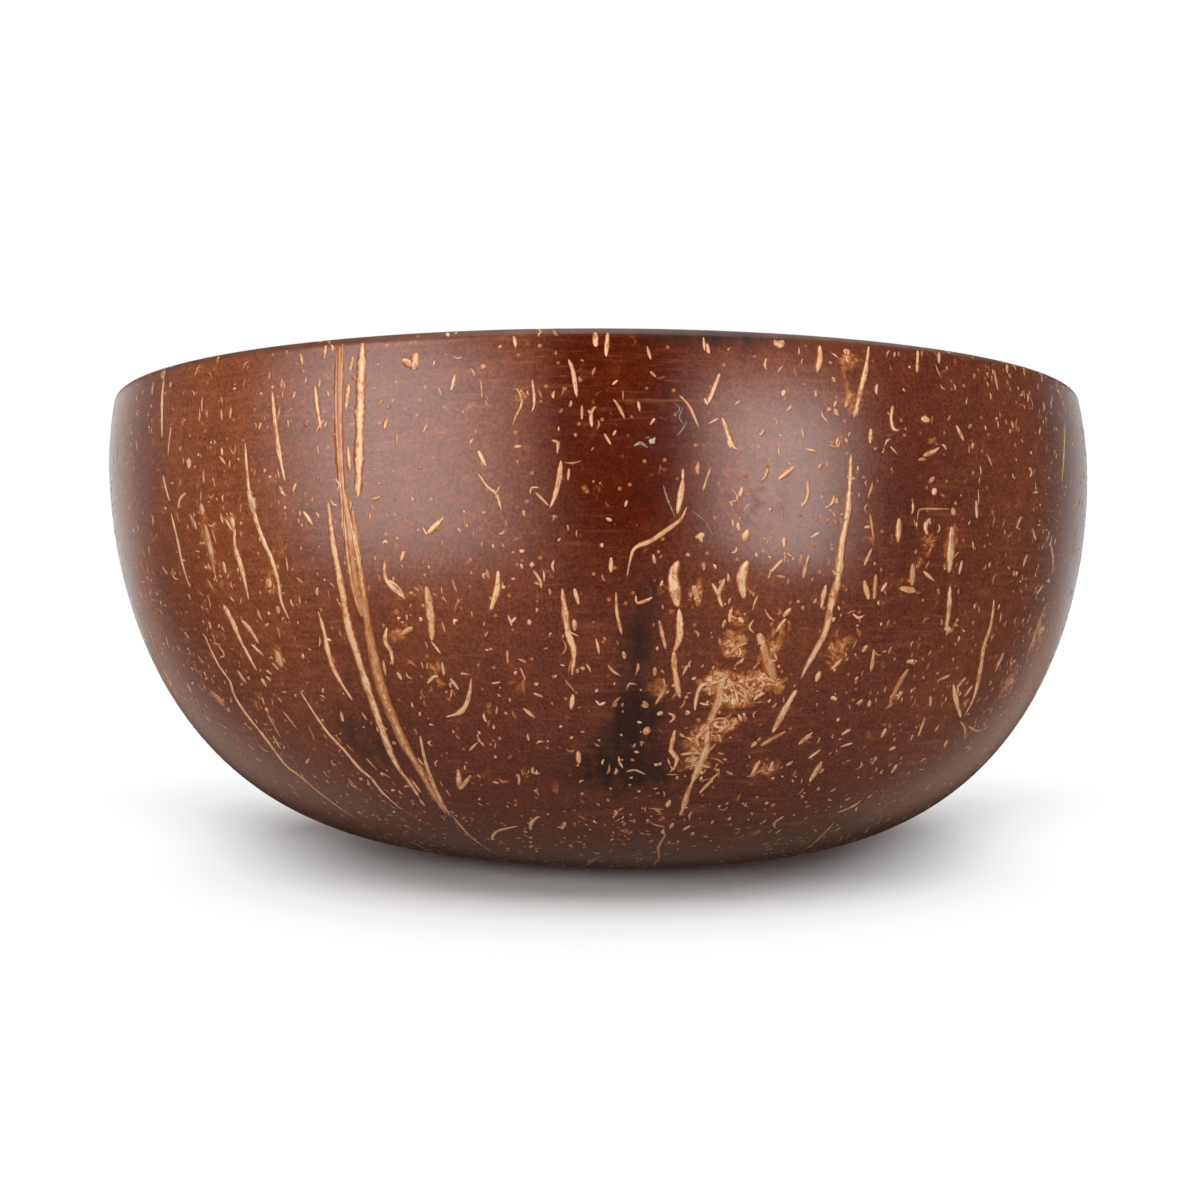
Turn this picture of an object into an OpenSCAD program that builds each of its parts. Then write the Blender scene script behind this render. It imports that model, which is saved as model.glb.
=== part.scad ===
// Coconut shell bowl: half of a nut's hard shell, cut level, sanded and polished.
// The stem end is the base. Its three eyes lie in the sanded flat, and filler closes each one flush.
// The origin is the middle of the flat, +Z is up, and -Y is the side that faces the viewer.

/* [Bowl] */
// Greatest outside width, across the belly
belly_d = 136.6; // [120:0.1:150]
// Height from the table to the rim
bowl_h = 62.3; // [50:0.1:76]
// How far the widest ring lies below the rim
belly_drop = 10; // [6:0.1:18]
// How far the rim draws in from the belly on each side
rim_inset = 1.1; // [0.4:0.1:3]
// Width of the flat sanded at the stem end
base_flat_d = 45; // [38:0.1:54]
// How far the middle of the rim has grown to the left of the middle of the flat
rim_drift = 2.8; // [0:0.1:4]
// Fullness of the outside: 2 is an ellipse, and more is boxier
outer_fullness = 3.45; // [2.6:0.02:4]

/* [Wall] */
// Wall at the rim
rim_wall = 4.2; // [3.2:0.1:6]
// Wall at the belly
belly_wall = 4.4; // [3.2:0.1:6]
// Wall over the sanded flat
floor_wall = 4.6; // [3.8:0.1:7]
// Radius of the eased edges of the rim
rim_round = 1.1; // [0.5:0.1:1.4]
// Fullness of the hollow: 2 is an ellipse, and more is boxier
hollow_fullness = 3.4; // [2.6:0.02:4]

/* [Ridges] */
// Direction of the first ridge, from the front towards the right
first_ridge_angle = 20; // [0:0.1:119]
// How far the ridges stand out at the base, as a share of the radius there
ridge_share = 0.034; // [0:0.001:0.05]

/* [Eyes] */
// Width of the circle that the three eyes lie on
eye_ring_d = 23; // [19:0.5:26]
// Width of an eye's pit in the flat
eye_d = 8.2; // [6:0.1:10]
// Depth of an eye's pit
eye_depth = 2.0; // [1.2:0.1:2.8]
// Width of the germination pore that runs on through the wall from the soft eye
pore_d = 5.4; // [4:0.1:5.8]
// Glue line between a filling and its pit, on each side
glue_line = 0.05; // [0.03:0.01:0.1]

/* [Hidden] */

shell_brown = [0.33, 0.16, 0.10];
filler_brown = [0.20, 0.12, 0.09];
fine_curve = 96;
overrun = 1;

// Three ridges and three eyes, because three carpels grow together into one shell
carpels = 3;
third_turn = 360 / carpels;
soft_eye = 1;
left_hard_eye = 2;
right_hard_eye = 0;

belly_r = belly_d / 2;
belly_z = bowl_h - belly_drop;
base_flat_r = base_flat_d / 2;
// Depth of the full dome below the belly, part of which the sanding took off
dome_depth = belly_z / sqrt(1 - pow(base_flat_r / belly_r, outer_fullness));
hollow_r = belly_r - belly_wall;
hollow_depth = belly_z - floor_wall;
hollow_inset = rim_inset + rim_wall - belly_wall;
lip_z = bowl_h - rim_round;

around = 72;
flank_rings = 18;
collar_rings = 3;
lip_rings = 4;

// Radius and height of a dome's point. The share runs from 0 at the pole to 1 at the belly,
// and equal steps of it are about equal steps along the curve
function dome_point(radius, depth, fullness, share) =
    let (angle = 90 * pow(share, fullness / 2))
    [radius * pow(sin(angle), 2 / fullness), belly_z - depth * cos(angle)];

// The shares of the first rings: the flat's edge outside, and one step from the pole inside
flat_edge_share = pow(acos(belly_z / dome_depth) / 90, 2 / outer_fullness);
floor_edge_share = 1 / flank_rings;

// Radius of the collar above the belly, which draws in by inset at the rim
function collar_radius(radius, inset, z) = radius - inset * pow((z - belly_z) / belly_drop, 2);

// One side of the wall, from its first ring up to the lip
function wall_side(radius, depth, fullness, inset, first_share) = concat(
    [for (i = [0:flank_rings])
        dome_point(radius, depth, fullness, first_share + (1 - first_share) * i / flank_rings)],
    [for (i = [1:collar_rings])
        let (z = belly_z + (lip_z - belly_z) * i / collar_rings) [collar_radius(radius, inset, z), z]]);

// The eased edge, from the side of the wall at lip_z up to the top of the rim
function lip_edge(side_r, inward) = [for (i = [1:lip_rings])
    let (angle = 90 * i / lip_rings)
    [side_r + inward * rim_round * (1 - cos(angle)), lip_z + rim_round * sin(angle)]];

function reversed(list) = [for (i = [len(list) - 1:-1:0]) list[i]];

outer_side = wall_side(belly_r, dome_depth, outer_fullness, rim_inset, flat_edge_share);
inner_side = wall_side(hollow_r, hollow_depth, hollow_fullness, hollow_inset, floor_edge_share);
outer_lip = lip_edge(collar_radius(belly_r, rim_inset, lip_z), -1);
inner_lip = lip_edge(collar_radius(hollow_r, hollow_inset, lip_z), 1);
wall_profile = concat(outer_side, outer_lip, reversed(inner_lip), reversed(inner_side));

// Height of the hollow's floor at a distance from the axis
function floor_z(distance) =
    belly_z - hollow_depth * sqrt(1 - pow(distance / hollow_r, hollow_fullness));

// Share of the height that is left above z, from 1 at the table to 0 at the rim
function share_above(z) = max(0, 1 - z / bowl_h);

// A point of the natural shell: its section has three soft ridges, and its middle drifts with height
function shell_point(r, z, angle) =
    let (ridge = 1 + ridge_share * share_above(z) * cos(carpels * (angle - first_ridge_angle)),
         middle = -rim_drift * (1 - share_above(z)))
    [middle + r * ridge * sin(angle), -r * ridge * cos(angle), z];

module wall() {
    rings = len(wall_profile);
    points = concat(
        [for (p = wall_profile) for (j = [0:around - 1]) shell_point(p[0], p[1], 360 * j / around)],
        [shell_point(0, 0, 0), shell_point(0, floor_wall, 0)]);
    base_pole = rings * around;
    floor_pole = base_pole + 1;
    bands = [for (i = [0:rings - 2]) for (j = [0:around - 1])
        let (here = i * around + j,
             beside = i * around + (j + 1) % around,
             above = here + around,
             across = beside + around)
        each [[here, across, beside], [here, above, across]]];
    base_fan = [for (j = [0:around - 1]) [base_pole, j, (j + 1) % around]];
    floor_fan = [for (j = [0:around - 1])
        let (last = (rings - 1) * around) [floor_pole, last + (j + 1) % around, last + j]];
    polyhedron(points = points, faces = concat(bands, base_fan, floor_fan), convexity = 4);
}

// Puts its children at the eye between two ridges
module at_eye(number) {
    angle = first_ridge_angle + third_turn * (number + 1 / 2);
    translate([eye_ring_d / 2 * sin(angle), -eye_ring_d / 2 * cos(angle), 0]) children();
}

module shell() {
    color(shell_brown) difference() {
        wall();
        for (number = [0:carpels - 1])
            at_eye(number) translate([0, 0, -overrun])
                cylinder(d = eye_d, h = eye_depth + overrun, $fn = fine_curve);
        at_eye(soft_eye) cylinder(d = pore_d, h = floor_z(eye_ring_d) + overrun, $fn = fine_curve);
    }
}

// A disc of filler that closes an eye's pit flush with the flat
module eye_fill() {
    cylinder(d = eye_d - 2 * glue_line, h = eye_depth - glue_line, $fn = fine_curve);
}

// The same disc with a shank that fills the pore up to the floor of the hollow
module soft_eye_plug() {
    color(filler_brown) at_eye(soft_eye) {
        eye_fill();
        cylinder(d = pore_d - 2 * glue_line, h = floor_z(eye_ring_d / 2), $fn = fine_curve);
    }
}

module hard_eye_fill(number) {
    color(filler_brown) at_eye(number) eye_fill();
}

shell();
soft_eye_plug();
hard_eye_fill(left_hard_eye);  // left_hard_eye_fill
hard_eye_fill(right_hard_eye);  // right_hard_eye_fill
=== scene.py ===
"""The looks of a coconut shell bowl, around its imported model.

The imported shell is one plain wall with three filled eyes. Here a fine wall of the same form stands in
its place, the nut's own fibres lie in its polished face as thin lenses, and every surface gets its
finish. The strands that the photograph shows are placed by its pixels, through the camera, on the wall
that carries them.
"""

import logging
import math
import random
from collections.abc import Iterable
from dataclasses import dataclass, replace
from enum import Enum

import bmesh
import bpy
import numpy as np
from mathutils import Matrix, Vector
from mathutils import noise as chance
from mathutils.bvhtree import BVHTree


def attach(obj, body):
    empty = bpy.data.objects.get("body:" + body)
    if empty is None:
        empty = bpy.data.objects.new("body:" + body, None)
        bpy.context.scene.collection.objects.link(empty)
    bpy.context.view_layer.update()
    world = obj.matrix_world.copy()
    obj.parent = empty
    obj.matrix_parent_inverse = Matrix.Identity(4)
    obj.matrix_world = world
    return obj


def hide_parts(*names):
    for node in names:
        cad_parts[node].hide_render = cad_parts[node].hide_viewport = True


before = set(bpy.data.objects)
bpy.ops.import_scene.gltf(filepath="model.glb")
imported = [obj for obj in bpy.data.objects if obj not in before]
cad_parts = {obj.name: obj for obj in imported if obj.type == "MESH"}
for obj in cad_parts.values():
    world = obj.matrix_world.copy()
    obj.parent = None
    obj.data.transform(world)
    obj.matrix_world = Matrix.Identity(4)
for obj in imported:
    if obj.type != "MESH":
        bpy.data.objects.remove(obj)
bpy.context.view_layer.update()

MM = 0.001
LOG = logging.getLogger("coconut_bowl")

Socket = bpy.types.NodeSocket
Pixel = tuple[float, float]
Color = tuple[float, float, float, float]


def paint(code: str) -> Color:
    """Turns a colour code into the linear colour that the shaders use.

    Args:
        code: Six hexadecimal digits, red first.

    Returns:
        Linear red, green and blue, with an alpha of one.
    """
    channels = [int(code[place:place + 2], 16) / 255 for place in (0, 2, 4)]
    linear = [((c + 0.055) / 1.055) ** 2.4 if c > 0.04045 else c / 12.92 for c in channels]
    return (linear[0], linear[1], linear[2], 1.0)


@dataclass(frozen=True)
class BowlForm:
    """The nut's natural form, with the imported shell's own sizes, in metres.

    The outside and the hollow are superellipse domes below the belly and a collar above it. Their
    sections have three soft ridges, and their middles drift to the left with height.
    """

    belly_d: float = 136.6 * MM
    height: float = 62.3 * MM
    belly_drop: float = 10.0 * MM
    rim_inset: float = 1.1 * MM
    base_flat_d: float = 45.0 * MM
    rim_drift: float = 2.8 * MM
    outer_fullness: float = 3.45
    rim_wall: float = 4.2 * MM
    belly_wall: float = 4.4 * MM
    floor_wall: float = 4.6 * MM
    rim_round: float = 1.1 * MM
    hollow_fullness: float = 3.4
    first_ridge: float = math.radians(20)
    ridge_share: float = 0.034
    carpels: int = 3
    eye_ring_d: float = 23.0 * MM
    eye_d: float = 8.2 * MM
    eye_depth: float = 2.0 * MM
    pore_d: float = 5.4 * MM
    soft_eye: int = 1

    @property
    def belly_z(self) -> float:
        """Height of the widest ring."""
        return self.height - self.belly_drop

    @property
    def lip_z(self) -> float:
        """Height at which the rim's eased edges start."""
        return self.height - self.rim_round

    @property
    def dome_depth(self) -> float:
        """Depth of the outer dome below the belly, with the part that the sanding took off."""
        flat_share = self.base_flat_d / self.belly_d
        return self.belly_z / math.sqrt(1 - flat_share ** self.outer_fullness)

    @property
    def hollow_r(self) -> float:
        """Greatest radius of the hollow."""
        return self.belly_d / 2 - self.belly_wall

    @property
    def hollow_depth(self) -> float:
        """Depth of the hollow's dome below the belly."""
        return self.belly_z - self.floor_wall

    @property
    def hollow_inset(self) -> float:
        """How far the hollow draws in from the belly to the rim."""
        return self.rim_inset + self.rim_wall - self.belly_wall

    def dome_point(self, radius: float, depth: float, fullness: float, share: float) -> tuple[float, float]:
        """Radius and height on a dome, from its pole at share 0 to the belly at share 1."""
        angle = math.pi / 2 * share ** (fullness / 2)
        return radius * math.sin(angle) ** (2 / fullness), self.belly_z - depth * math.cos(angle)

    def collar_radius(self, radius: float, inset: float, z: float) -> float:
        """Radius of a collar at height z, which draws in by inset at the rim."""
        return radius - inset * ((z - self.belly_z) / self.belly_drop) ** 2

    def _side_radius(self, z: np.ndarray, radius: float, depth: float, fullness: float,
                     inset: float) -> np.ndarray:
        """Radius of a dome and its collar at each height, and 0 below the dome."""
        below = np.clip((self.belly_z - z) / depth, 0, 1)
        above = np.clip((z - self.belly_z) / self.belly_drop, 0, 1)
        return radius * (1 - below ** 2) ** (1 / fullness) - inset * above ** 2

    def outer_radius(self, z: np.ndarray) -> np.ndarray:
        """Radius of the outside at each height."""
        return self._side_radius(z, self.belly_d / 2, self.dome_depth, self.outer_fullness, self.rim_inset)

    def inner_radius(self, z: np.ndarray) -> np.ndarray:
        """Radius of the hollow at each height, and 0 below its floor."""
        return self._side_radius(z, self.hollow_r, self.hollow_depth, self.hollow_fullness, self.hollow_inset)

    def middle(self, z: float) -> float:
        """Sideways place of a section's middle."""
        return -self.rim_drift * min(1.0, z / self.height)

    def ridge(self, z: float, angle: float) -> float:
        """Factor by which the three ridges raise the radius."""
        swell = self.ridge_share * max(0.0, 1 - z / self.height)
        return 1 + swell * math.cos(self.carpels * (angle - self.first_ridge))

    def place(self, radius: float, z: float, angle: float) -> Vector:
        """Point of the natural shell, where angle runs from the front towards the right."""
        reach = radius * self.ridge(z, angle)
        return Vector((self.middle(z) + reach * math.sin(angle), -reach * math.cos(angle), z))

    def eye_place(self, number: int) -> Vector:
        """Middle of an eye, which lies between two ridges."""
        angle = self.first_ridge + 2 * math.pi / self.carpels * (number + 0.5)
        return Vector((math.sin(angle), -math.cos(angle), 0.0)) * (self.eye_ring_d / 2)


@dataclass(frozen=True)
class Viewpoint:
    """Where the photograph was taken from, in the row frame. The photograph is a square."""

    right: float = -2.32 * MM
    distance: float = 235.8 * MM
    height: float = 29.3 * MM
    pitch: float = math.radians(1.521)
    focal_px: float = 1623.1
    photo_px: float = 1200.0
    sensor_mm: float = 36.0
    nearest: float = 10 * MM

    @property
    def eye(self) -> Vector:
        """The camera's place."""
        return Vector((self.right, -self.distance, self.height))

    def make_camera(self) -> None:
        """Adds the camera and makes it the scene's own."""
        data = bpy.data.cameras.new("photo_camera")
        data.sensor_width = self.sensor_mm
        data.lens = self.sensor_mm * self.focal_px / self.photo_px
        data.clip_start = self.nearest
        camera = bpy.data.objects.new("photo_camera", data)
        camera.location = self.eye
        camera.rotation_euler = (math.pi / 2 + self.pitch, 0.0, 0.0)
        bpy.context.scene.collection.objects.link(camera)
        bpy.context.scene.camera = camera

    def ray(self, pixel: Pixel) -> Vector:
        """Direction from the camera through a pixel of the photograph."""
        ahead = Vector((0.0, math.cos(self.pitch), math.sin(self.pitch)))
        upward = Vector((0.0, -math.sin(self.pitch), math.cos(self.pitch)))
        sideways = (pixel[0] - self.photo_px / 2) / self.focal_px
        raised = (self.photo_px / 2 - pixel[1]) / self.focal_px
        return (ahead + Vector((sideways, 0.0, 0.0)) + upward * raised).normalized()

    def metres_per_px(self, place: Vector) -> float:
        """What one pixel of the photograph spans at a point."""
        return (place - self.eye).length / self.focal_px


class Recipe:
    """Writes one node tree, so that a finish reads as a list of steps."""

    def __init__(self, tree: bpy.types.NodeTree) -> None:
        """Starts on an empty tree.

        Args:
            tree: The material's, world's or group's tree.
        """
        self.tree = tree
        tree.nodes.clear()

    def feed(self, socket: Socket, value: object) -> None:
        """Joins a socket to an input, or writes a plain value into it."""
        if isinstance(value, bpy.types.NodeSocket):
            self.tree.links.new(value, socket)
        elif value is not None:
            socket.default_value = value

    def node(self, kind: str, inputs: dict | None = None, **settings: object) -> bpy.types.Node:
        """Adds a node.

        Args:
            kind: The node's type, without its ShaderNode prefix.
            inputs: Values or sockets by the input's name or number.
            **settings: The node's own properties.

        Returns:
            The new node.
        """
        made = self.tree.nodes.new("ShaderNode" + kind)
        for name, value in settings.items():
            setattr(made, name, value)
        for name, value in (inputs or {}).items():
            self.feed(made.inputs[name], value)
        return made

    def math(self, operation: str, first: object, second: object = None, third: object = None) -> Socket:
        """Combines two numbers, or three."""
        return self.node("Math", {0: first, 1: second, 2: third}, operation=operation).outputs[0]

    def vector(self, operation: str, first: object, second: object = None) -> Socket:
        """Combines two vectors, or measures one."""
        made = self.node("VectorMath", {0: first, 1: second}, operation=operation)
        return made.outputs["Value" if operation == "LENGTH" else "Vector"]

    def noise(self, vector: Socket, scale: float, detail: float = 2.0, rough: float = 0.5,
              swirl: float = 0.0) -> Socket:
        """Cloudy noise from about 0 to 1."""
        inputs = {"Vector": vector, "Scale": scale, "Detail": detail, "Roughness": rough, "Distortion": swirl}
        return self.node("TexNoise", inputs).outputs["Fac"]

    def cells(self, vector: Socket, scale: float) -> Socket:
        """Distance to the middle of the nearest random cell."""
        return self.node("TexVoronoi", {"Vector": vector, "Scale": scale}, feature="F1").outputs["Distance"]

    def fade(self, value: object, low: float, high: float, start: float = 0.0, end: float = 1.0) -> Socket:
        """Turns low into start and high into end, with a smooth run between."""
        inputs = {"Value": value, "From Min": low, "From Max": high, "To Min": start, "To Max": end}
        return self.node("MapRange", inputs, interpolation_type="SMOOTHSTEP").outputs["Result"]

    def mix(self, share: object, first: object, second: object, blend: str = "MIX") -> Socket:
        """Blends two colours."""
        made = self.node("Mix", {0: share, 6: first, 7: second}, data_type="RGBA", blend_type=blend)
        return made.outputs[2]

    def attribute(self, name: str) -> Socket:
        """Reads a number that the mesh carries."""
        return self.node("Attribute", attribute_name=name).outputs["Fac"]

    def own_place(self) -> Socket:
        """Reads the point's place in the row frame."""
        return self.node("TexCoord").outputs["Object"]

    def surface(self, color: Socket, rough: Socket, relief: Socket, relief_m: float,
                inputs: dict | None = None, strength: float = 1.0) -> None:
        """Ends a material with one body, to which a bump gives its fine relief.

        Args:
            color: The body's colour.
            rough: The body's roughness.
            relief: Height of the relief, from about 0 to 1.
            relief_m: What a height of 1 stands for, in metres.
            inputs: Values or sockets for the body's other inputs, by name.
            strength: Share of the relief that shows.
        """
        bump = self.node("Bump", {"Height": relief, "Distance": relief_m, "Strength": strength})
        shared = {"Base Color": color, "Roughness": rough, "Normal": bump.outputs["Normal"]}
        body = self.node("BsdfPrincipled", {**shared, **(inputs or {})})
        self.node("OutputMaterial", {"Surface": body.outputs["BSDF"]})


def new_material(name: str) -> tuple[bpy.types.Material, Recipe]:
    """Starts a material on an empty tree, with its recipe."""
    made = bpy.data.materials.new(name)
    made.use_nodes = True
    return made, Recipe(made.node_tree)


@dataclass(frozen=True)
class GroupSocket:
    """One socket of a shader node group."""

    name: str
    kind: str = "NodeSocketFloat"
    given: bool = True


class ShellTone:
    """The shader group that gives the polished shell its colour, roughness and fine relief.

    Both the wall and the fibres use it, so that a fibre's edge runs into the shell without a seam. A
    noise is given by its scale in waves to the metre, its detail, roughness and swirl. A fade is given by
    the two values it runs between, and by what it turns them into where that isn't 0 and 1.
    """

    NAME = "shell_tone"
    MASKS = ("Mottle", "Stain", "Inside", "Cut", "Scuff", "Warm_and_lit", "Deep_and_shaded")
    SOCKETS = (
        GroupSocket("Place", "NodeSocketVector"),
        *(GroupSocket(name) for name in MASKS),
        GroupSocket("Color", "NodeSocketColor", given=False),
        GroupSocket("Rough", given=False),
        GroupSocket("Relief", given=False),
        GroupSocket("Polish", given=False),
    )

    # Painted shade as well as tone: the dark brown of the gap between the highlights, and of darker clouds
    # round the back.
    DEEP_AND_SHADED = paint("591c01")
    MAIN = paint("6e3826")
    # Painted light as well as tone: the brighter brown of the lit highlight patches and edges, and of warmer
    # clouds round the back.
    WARM_AND_LIT = paint("8e4e2e")
    STAIN = paint("2c1b19")
    SCRATCH = paint("b5764a")
    PORE = paint("2a0f07")
    TINT = paint("8a4520")
    MOTTLE_LOW = paint("ca7a42")
    MOTTLE_HIGH = paint("ffd6a8")
    HOLLOW_DEEP = paint("3c1c11")
    HOLLOW_MAIN = paint("6b3a22")
    HOLLOW_STREAK = paint("8d5a36")
    CUT_MAIN = paint("623522")
    CUT_GRAIN = paint("82502f")

    SANDING_STRETCH = (150.0, 150.0, 1900.0)
    SANDING_NOISE = (1.0, 4.0, 0.65)
    SAND_NOISE = (3000.0, 2.0, 0.6)

    GRAIN_NOISE = (480.0, 4.0, 0.6)
    GRAIN_FADE = (0.3, 0.7, 0.88, 1.12)
    GRIT_FADE = (0.3, 0.7, 0.7, 1.3)
    SMUDGE_NOISE = (300.0, 4.0, 0.66, 0.5)
    SMUDGE_FADE = (0.54, 0.72, 0.0, 0.5)
    LINE_PATCH_NOISE = (60.0, 2.0)
    LINE_PATCH_FADE = (0.38, 0.62, 0.12, 1.0)
    RUT_FADE = (0.5, 0.34, 0.0, 0.18)
    SHINE_FADE = (0.52, 0.72, 0.0, 0.28)
    SPECK_SCALE = 560.0
    SPECK_FADE = (0.15, 0.06, 0.0, 0.9)
    PORE_SCALE = 900.0
    PORE_FADE = (0.16, 0.08, 0.0, 0.3)

    SWIRL_NOISE = (430.0, 4.0, 0.62, 0.9)
    MASS_GROWTH = 0.45
    MASS_TINT = 0.4
    MASS_FADE = (0.62, 0.76, 0.0, 0.95)
    CRUMB_NOISE = (1300.0, 4.0, 0.66, 1.0)
    CRUMB_FADE = (0.34, 0.54)
    VEIN_MASS_FADE = (0.7, 0.9)
    VEIN_CRUMB_FADE = (0.46, 0.6)

    STAIN_STRETCH = (1.0, 1.0, 0.3)
    STAIN_NOISE = (420.0, 4.0, 0.6, 0.4)
    STAIN_FRAY_FADE = (0.3, 0.66, 0.5, 1.0)
    STAIN_FADE = (0.0, 1.0, 0.0, 0.9)

    HOLLOW_STRETCH = (1.0, 1.0, 0.12)
    HOLLOW_STREAK_NOISE = (26.0, 4.0, 0.65)
    HOLLOW_STREAK_FADE = (0.48, 0.75, 0.0, 0.7)
    HOLLOW_PATCH_NOISE = (45.0, 2.0)
    HOLLOW_PATCH_FADE = (0.3, 0.7)
    HOLLOW_SAND_FADE = (0.3, 0.75, 0.0, 0.3)
    CUT_NOISE = (900.0, 4.0, 0.7)
    CUT_FADE = (0.42, 0.7, 0.0, 0.6)
    CUT_SAND_FADE = (0.4, 0.8, 0.0, 0.4)
    SCUFF_NOISE = (900.0, 3.0, 0.7)
    SCUFF_FADE = (0.45, 0.65)

    ROUGH = 0.18
    LINES_ROUGHEN = 0.12
    INSIDE_ROUGHENS = 0.14
    SCUFFS_ROUGHEN = 0.25
    CUT_ROUGHENS = 0.3
    CUT_UNPOLISHES = -0.85
    LINE_RELIEF = 0.35
    SAND_RELIEF = 0.25
    SCUFF_RELIEF = -0.8

    def __init__(self) -> None:
        """Builds the group once."""
        self.tree = bpy.data.node_groups.new(self.NAME, "ShaderNodeTree")
        for socket in self.SOCKETS:
            way = "INPUT" if socket.given else "OUTPUT"
            self.tree.interface.new_socket(socket.name, in_out=way, socket_type=socket.kind)
        recipe = Recipe(self.tree)
        given = recipe.tree.nodes.new("NodeGroupInput").outputs
        taken = recipe.tree.nodes.new("NodeGroupOutput").inputs
        stretched = recipe.vector("MULTIPLY", given["Place"], self.SANDING_STRETCH)
        sanding = recipe.noise(stretched, *self.SANDING_NOISE)
        sand = recipe.noise(given["Place"], *self.SAND_NOISE)
        recipe.feed(taken["Color"], self._color(recipe, given, sand, sanding))

        scuffs = recipe.fade(recipe.noise(given["Place"], *self.SCUFF_NOISE), *self.SCUFF_FADE)
        scuffed = recipe.math("MULTIPLY", given["Scuff"], scuffs)
        lined = recipe.math("MULTIPLY_ADD", sanding, self.LINES_ROUGHEN, self.ROUGH)
        satin = recipe.math("MULTIPLY_ADD", given["Inside"], self.INSIDE_ROUGHENS, lined)
        worn = recipe.math("MULTIPLY_ADD", scuffed, self.SCUFFS_ROUGHEN, satin)
        recipe.feed(taken["Rough"], recipe.math("MULTIPLY_ADD", given["Cut"], self.CUT_ROUGHENS, worn))
        recipe.feed(taken["Polish"], recipe.math("MULTIPLY_ADD", given["Cut"], self.CUT_UNPOLISHES, 1.0))

        ruts = recipe.math("MULTIPLY", sanding, self.LINE_RELIEF)
        gritty = recipe.math("MULTIPLY_ADD", sand, self.SAND_RELIEF, ruts)
        recipe.feed(taken["Relief"], recipe.math("MULTIPLY_ADD", scuffed, self.SCUFF_RELIEF, gritty))

    def _color(self, recipe: Recipe, given: object, sand: Socket, sanding: Socket) -> Socket:
        """Colour of the outside, the hollow and the cut faces, each where its mask says, under the stains."""
        place = given["Place"]
        outside = self._outside(recipe, given, sand, sanding)
        mottled = self._mottle(recipe, place, given["Mottle"], outside)
        stretched = recipe.vector("MULTIPLY", place, self.STAIN_STRETCH)
        stain_edge = recipe.noise(stretched, *self.STAIN_NOISE)
        frayed = recipe.math("MULTIPLY", given["Stain"], recipe.fade(stain_edge, *self.STAIN_FRAY_FADE))
        stain_share = recipe.fade(frayed, *self.STAIN_FADE)
        stained = recipe.mix(stain_share, mottled, self.STAIN)
        walls = recipe.mix(given["Inside"], stained, self._hollow(recipe, place, sand))
        cut = recipe.mix(stain_share, self._cut(recipe, place, sand), self.STAIN)
        return recipe.mix(given["Cut"], walls, cut)

    def _outside(self, recipe: Recipe, given: object, sand: Socket, sanding: Socket) -> Socket:
        """Colour of the outside: broad brown areas, brighter and warmer as painted light on the highlights
        and edges and darker as painted shade between the highlights, a soft grain, sanding lines, specks and
        pores.
        """
        place = given["Place"]
        # Painted light: the lit patches turn warmer and brighter.
        warmed_and_lit = recipe.mix(given["Warm_and_lit"], self.MAIN, self.WARM_AND_LIT)
        # Painted shade: the gap between the highlights turns darker.
        broad = recipe.mix(given["Deep_and_shaded"], warmed_and_lit, self.DEEP_AND_SHADED)
        grain = recipe.fade(recipe.noise(place, *self.GRAIN_NOISE), *self.GRAIN_FADE)
        grained = recipe.mix(1.0, broad, grain, "MULTIPLY")
        gritty = recipe.mix(1.0, grained, recipe.fade(sand, *self.GRIT_FADE), "MULTIPLY")
        smudges = recipe.fade(recipe.noise(place, *self.SMUDGE_NOISE), *self.SMUDGE_FADE)
        smudged = recipe.mix(smudges, gritty, self.TINT)
        shown = recipe.fade(recipe.noise(place, *self.LINE_PATCH_NOISE), *self.LINE_PATCH_FADE)
        ruts = recipe.math("MULTIPLY", recipe.fade(sanding, *self.RUT_FADE), shown)
        shines = recipe.math("MULTIPLY", recipe.fade(sanding, *self.SHINE_FADE), shown)
        lined = recipe.mix(shines, recipe.mix(ruts, smudged, self.PORE), self.SCRATCH)
        specks = recipe.fade(recipe.cells(place, self.SPECK_SCALE), *self.SPECK_FADE)
        specked = recipe.mix(specks, lined, self.MOTTLE_LOW)
        pores = recipe.fade(recipe.cells(place, self.PORE_SCALE), *self.PORE_FADE)
        return recipe.mix(pores, specked, self.PORE)

    def _mottle(self, recipe: Recipe, place: Socket, mask: Socket, ground: Socket) -> Socket:
        """Tan masses where the nut's fibres come loose to the surface, with paler veins in them."""
        swirls = recipe.noise(place, *self.SWIRL_NOISE)
        masses = recipe.math("MULTIPLY_ADD", mask, self.MASS_GROWTH, swirls)
        tinted = recipe.mix(recipe.math("MULTIPLY", mask, self.MASS_TINT), ground, self.TINT)
        crumbs = recipe.noise(place, *self.CRUMB_NOISE)
        tan = recipe.mix(recipe.fade(crumbs, *self.CRUMB_FADE), self.TINT, self.MOTTLE_LOW)
        low = recipe.mix(recipe.fade(masses, *self.MASS_FADE), tinted, tan)
        high = recipe.math("MULTIPLY", recipe.fade(masses, *self.VEIN_MASS_FADE),
                           recipe.fade(crumbs, *self.VEIN_CRUMB_FADE))
        return recipe.mix(high, low, self.MOTTLE_HIGH)

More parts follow.
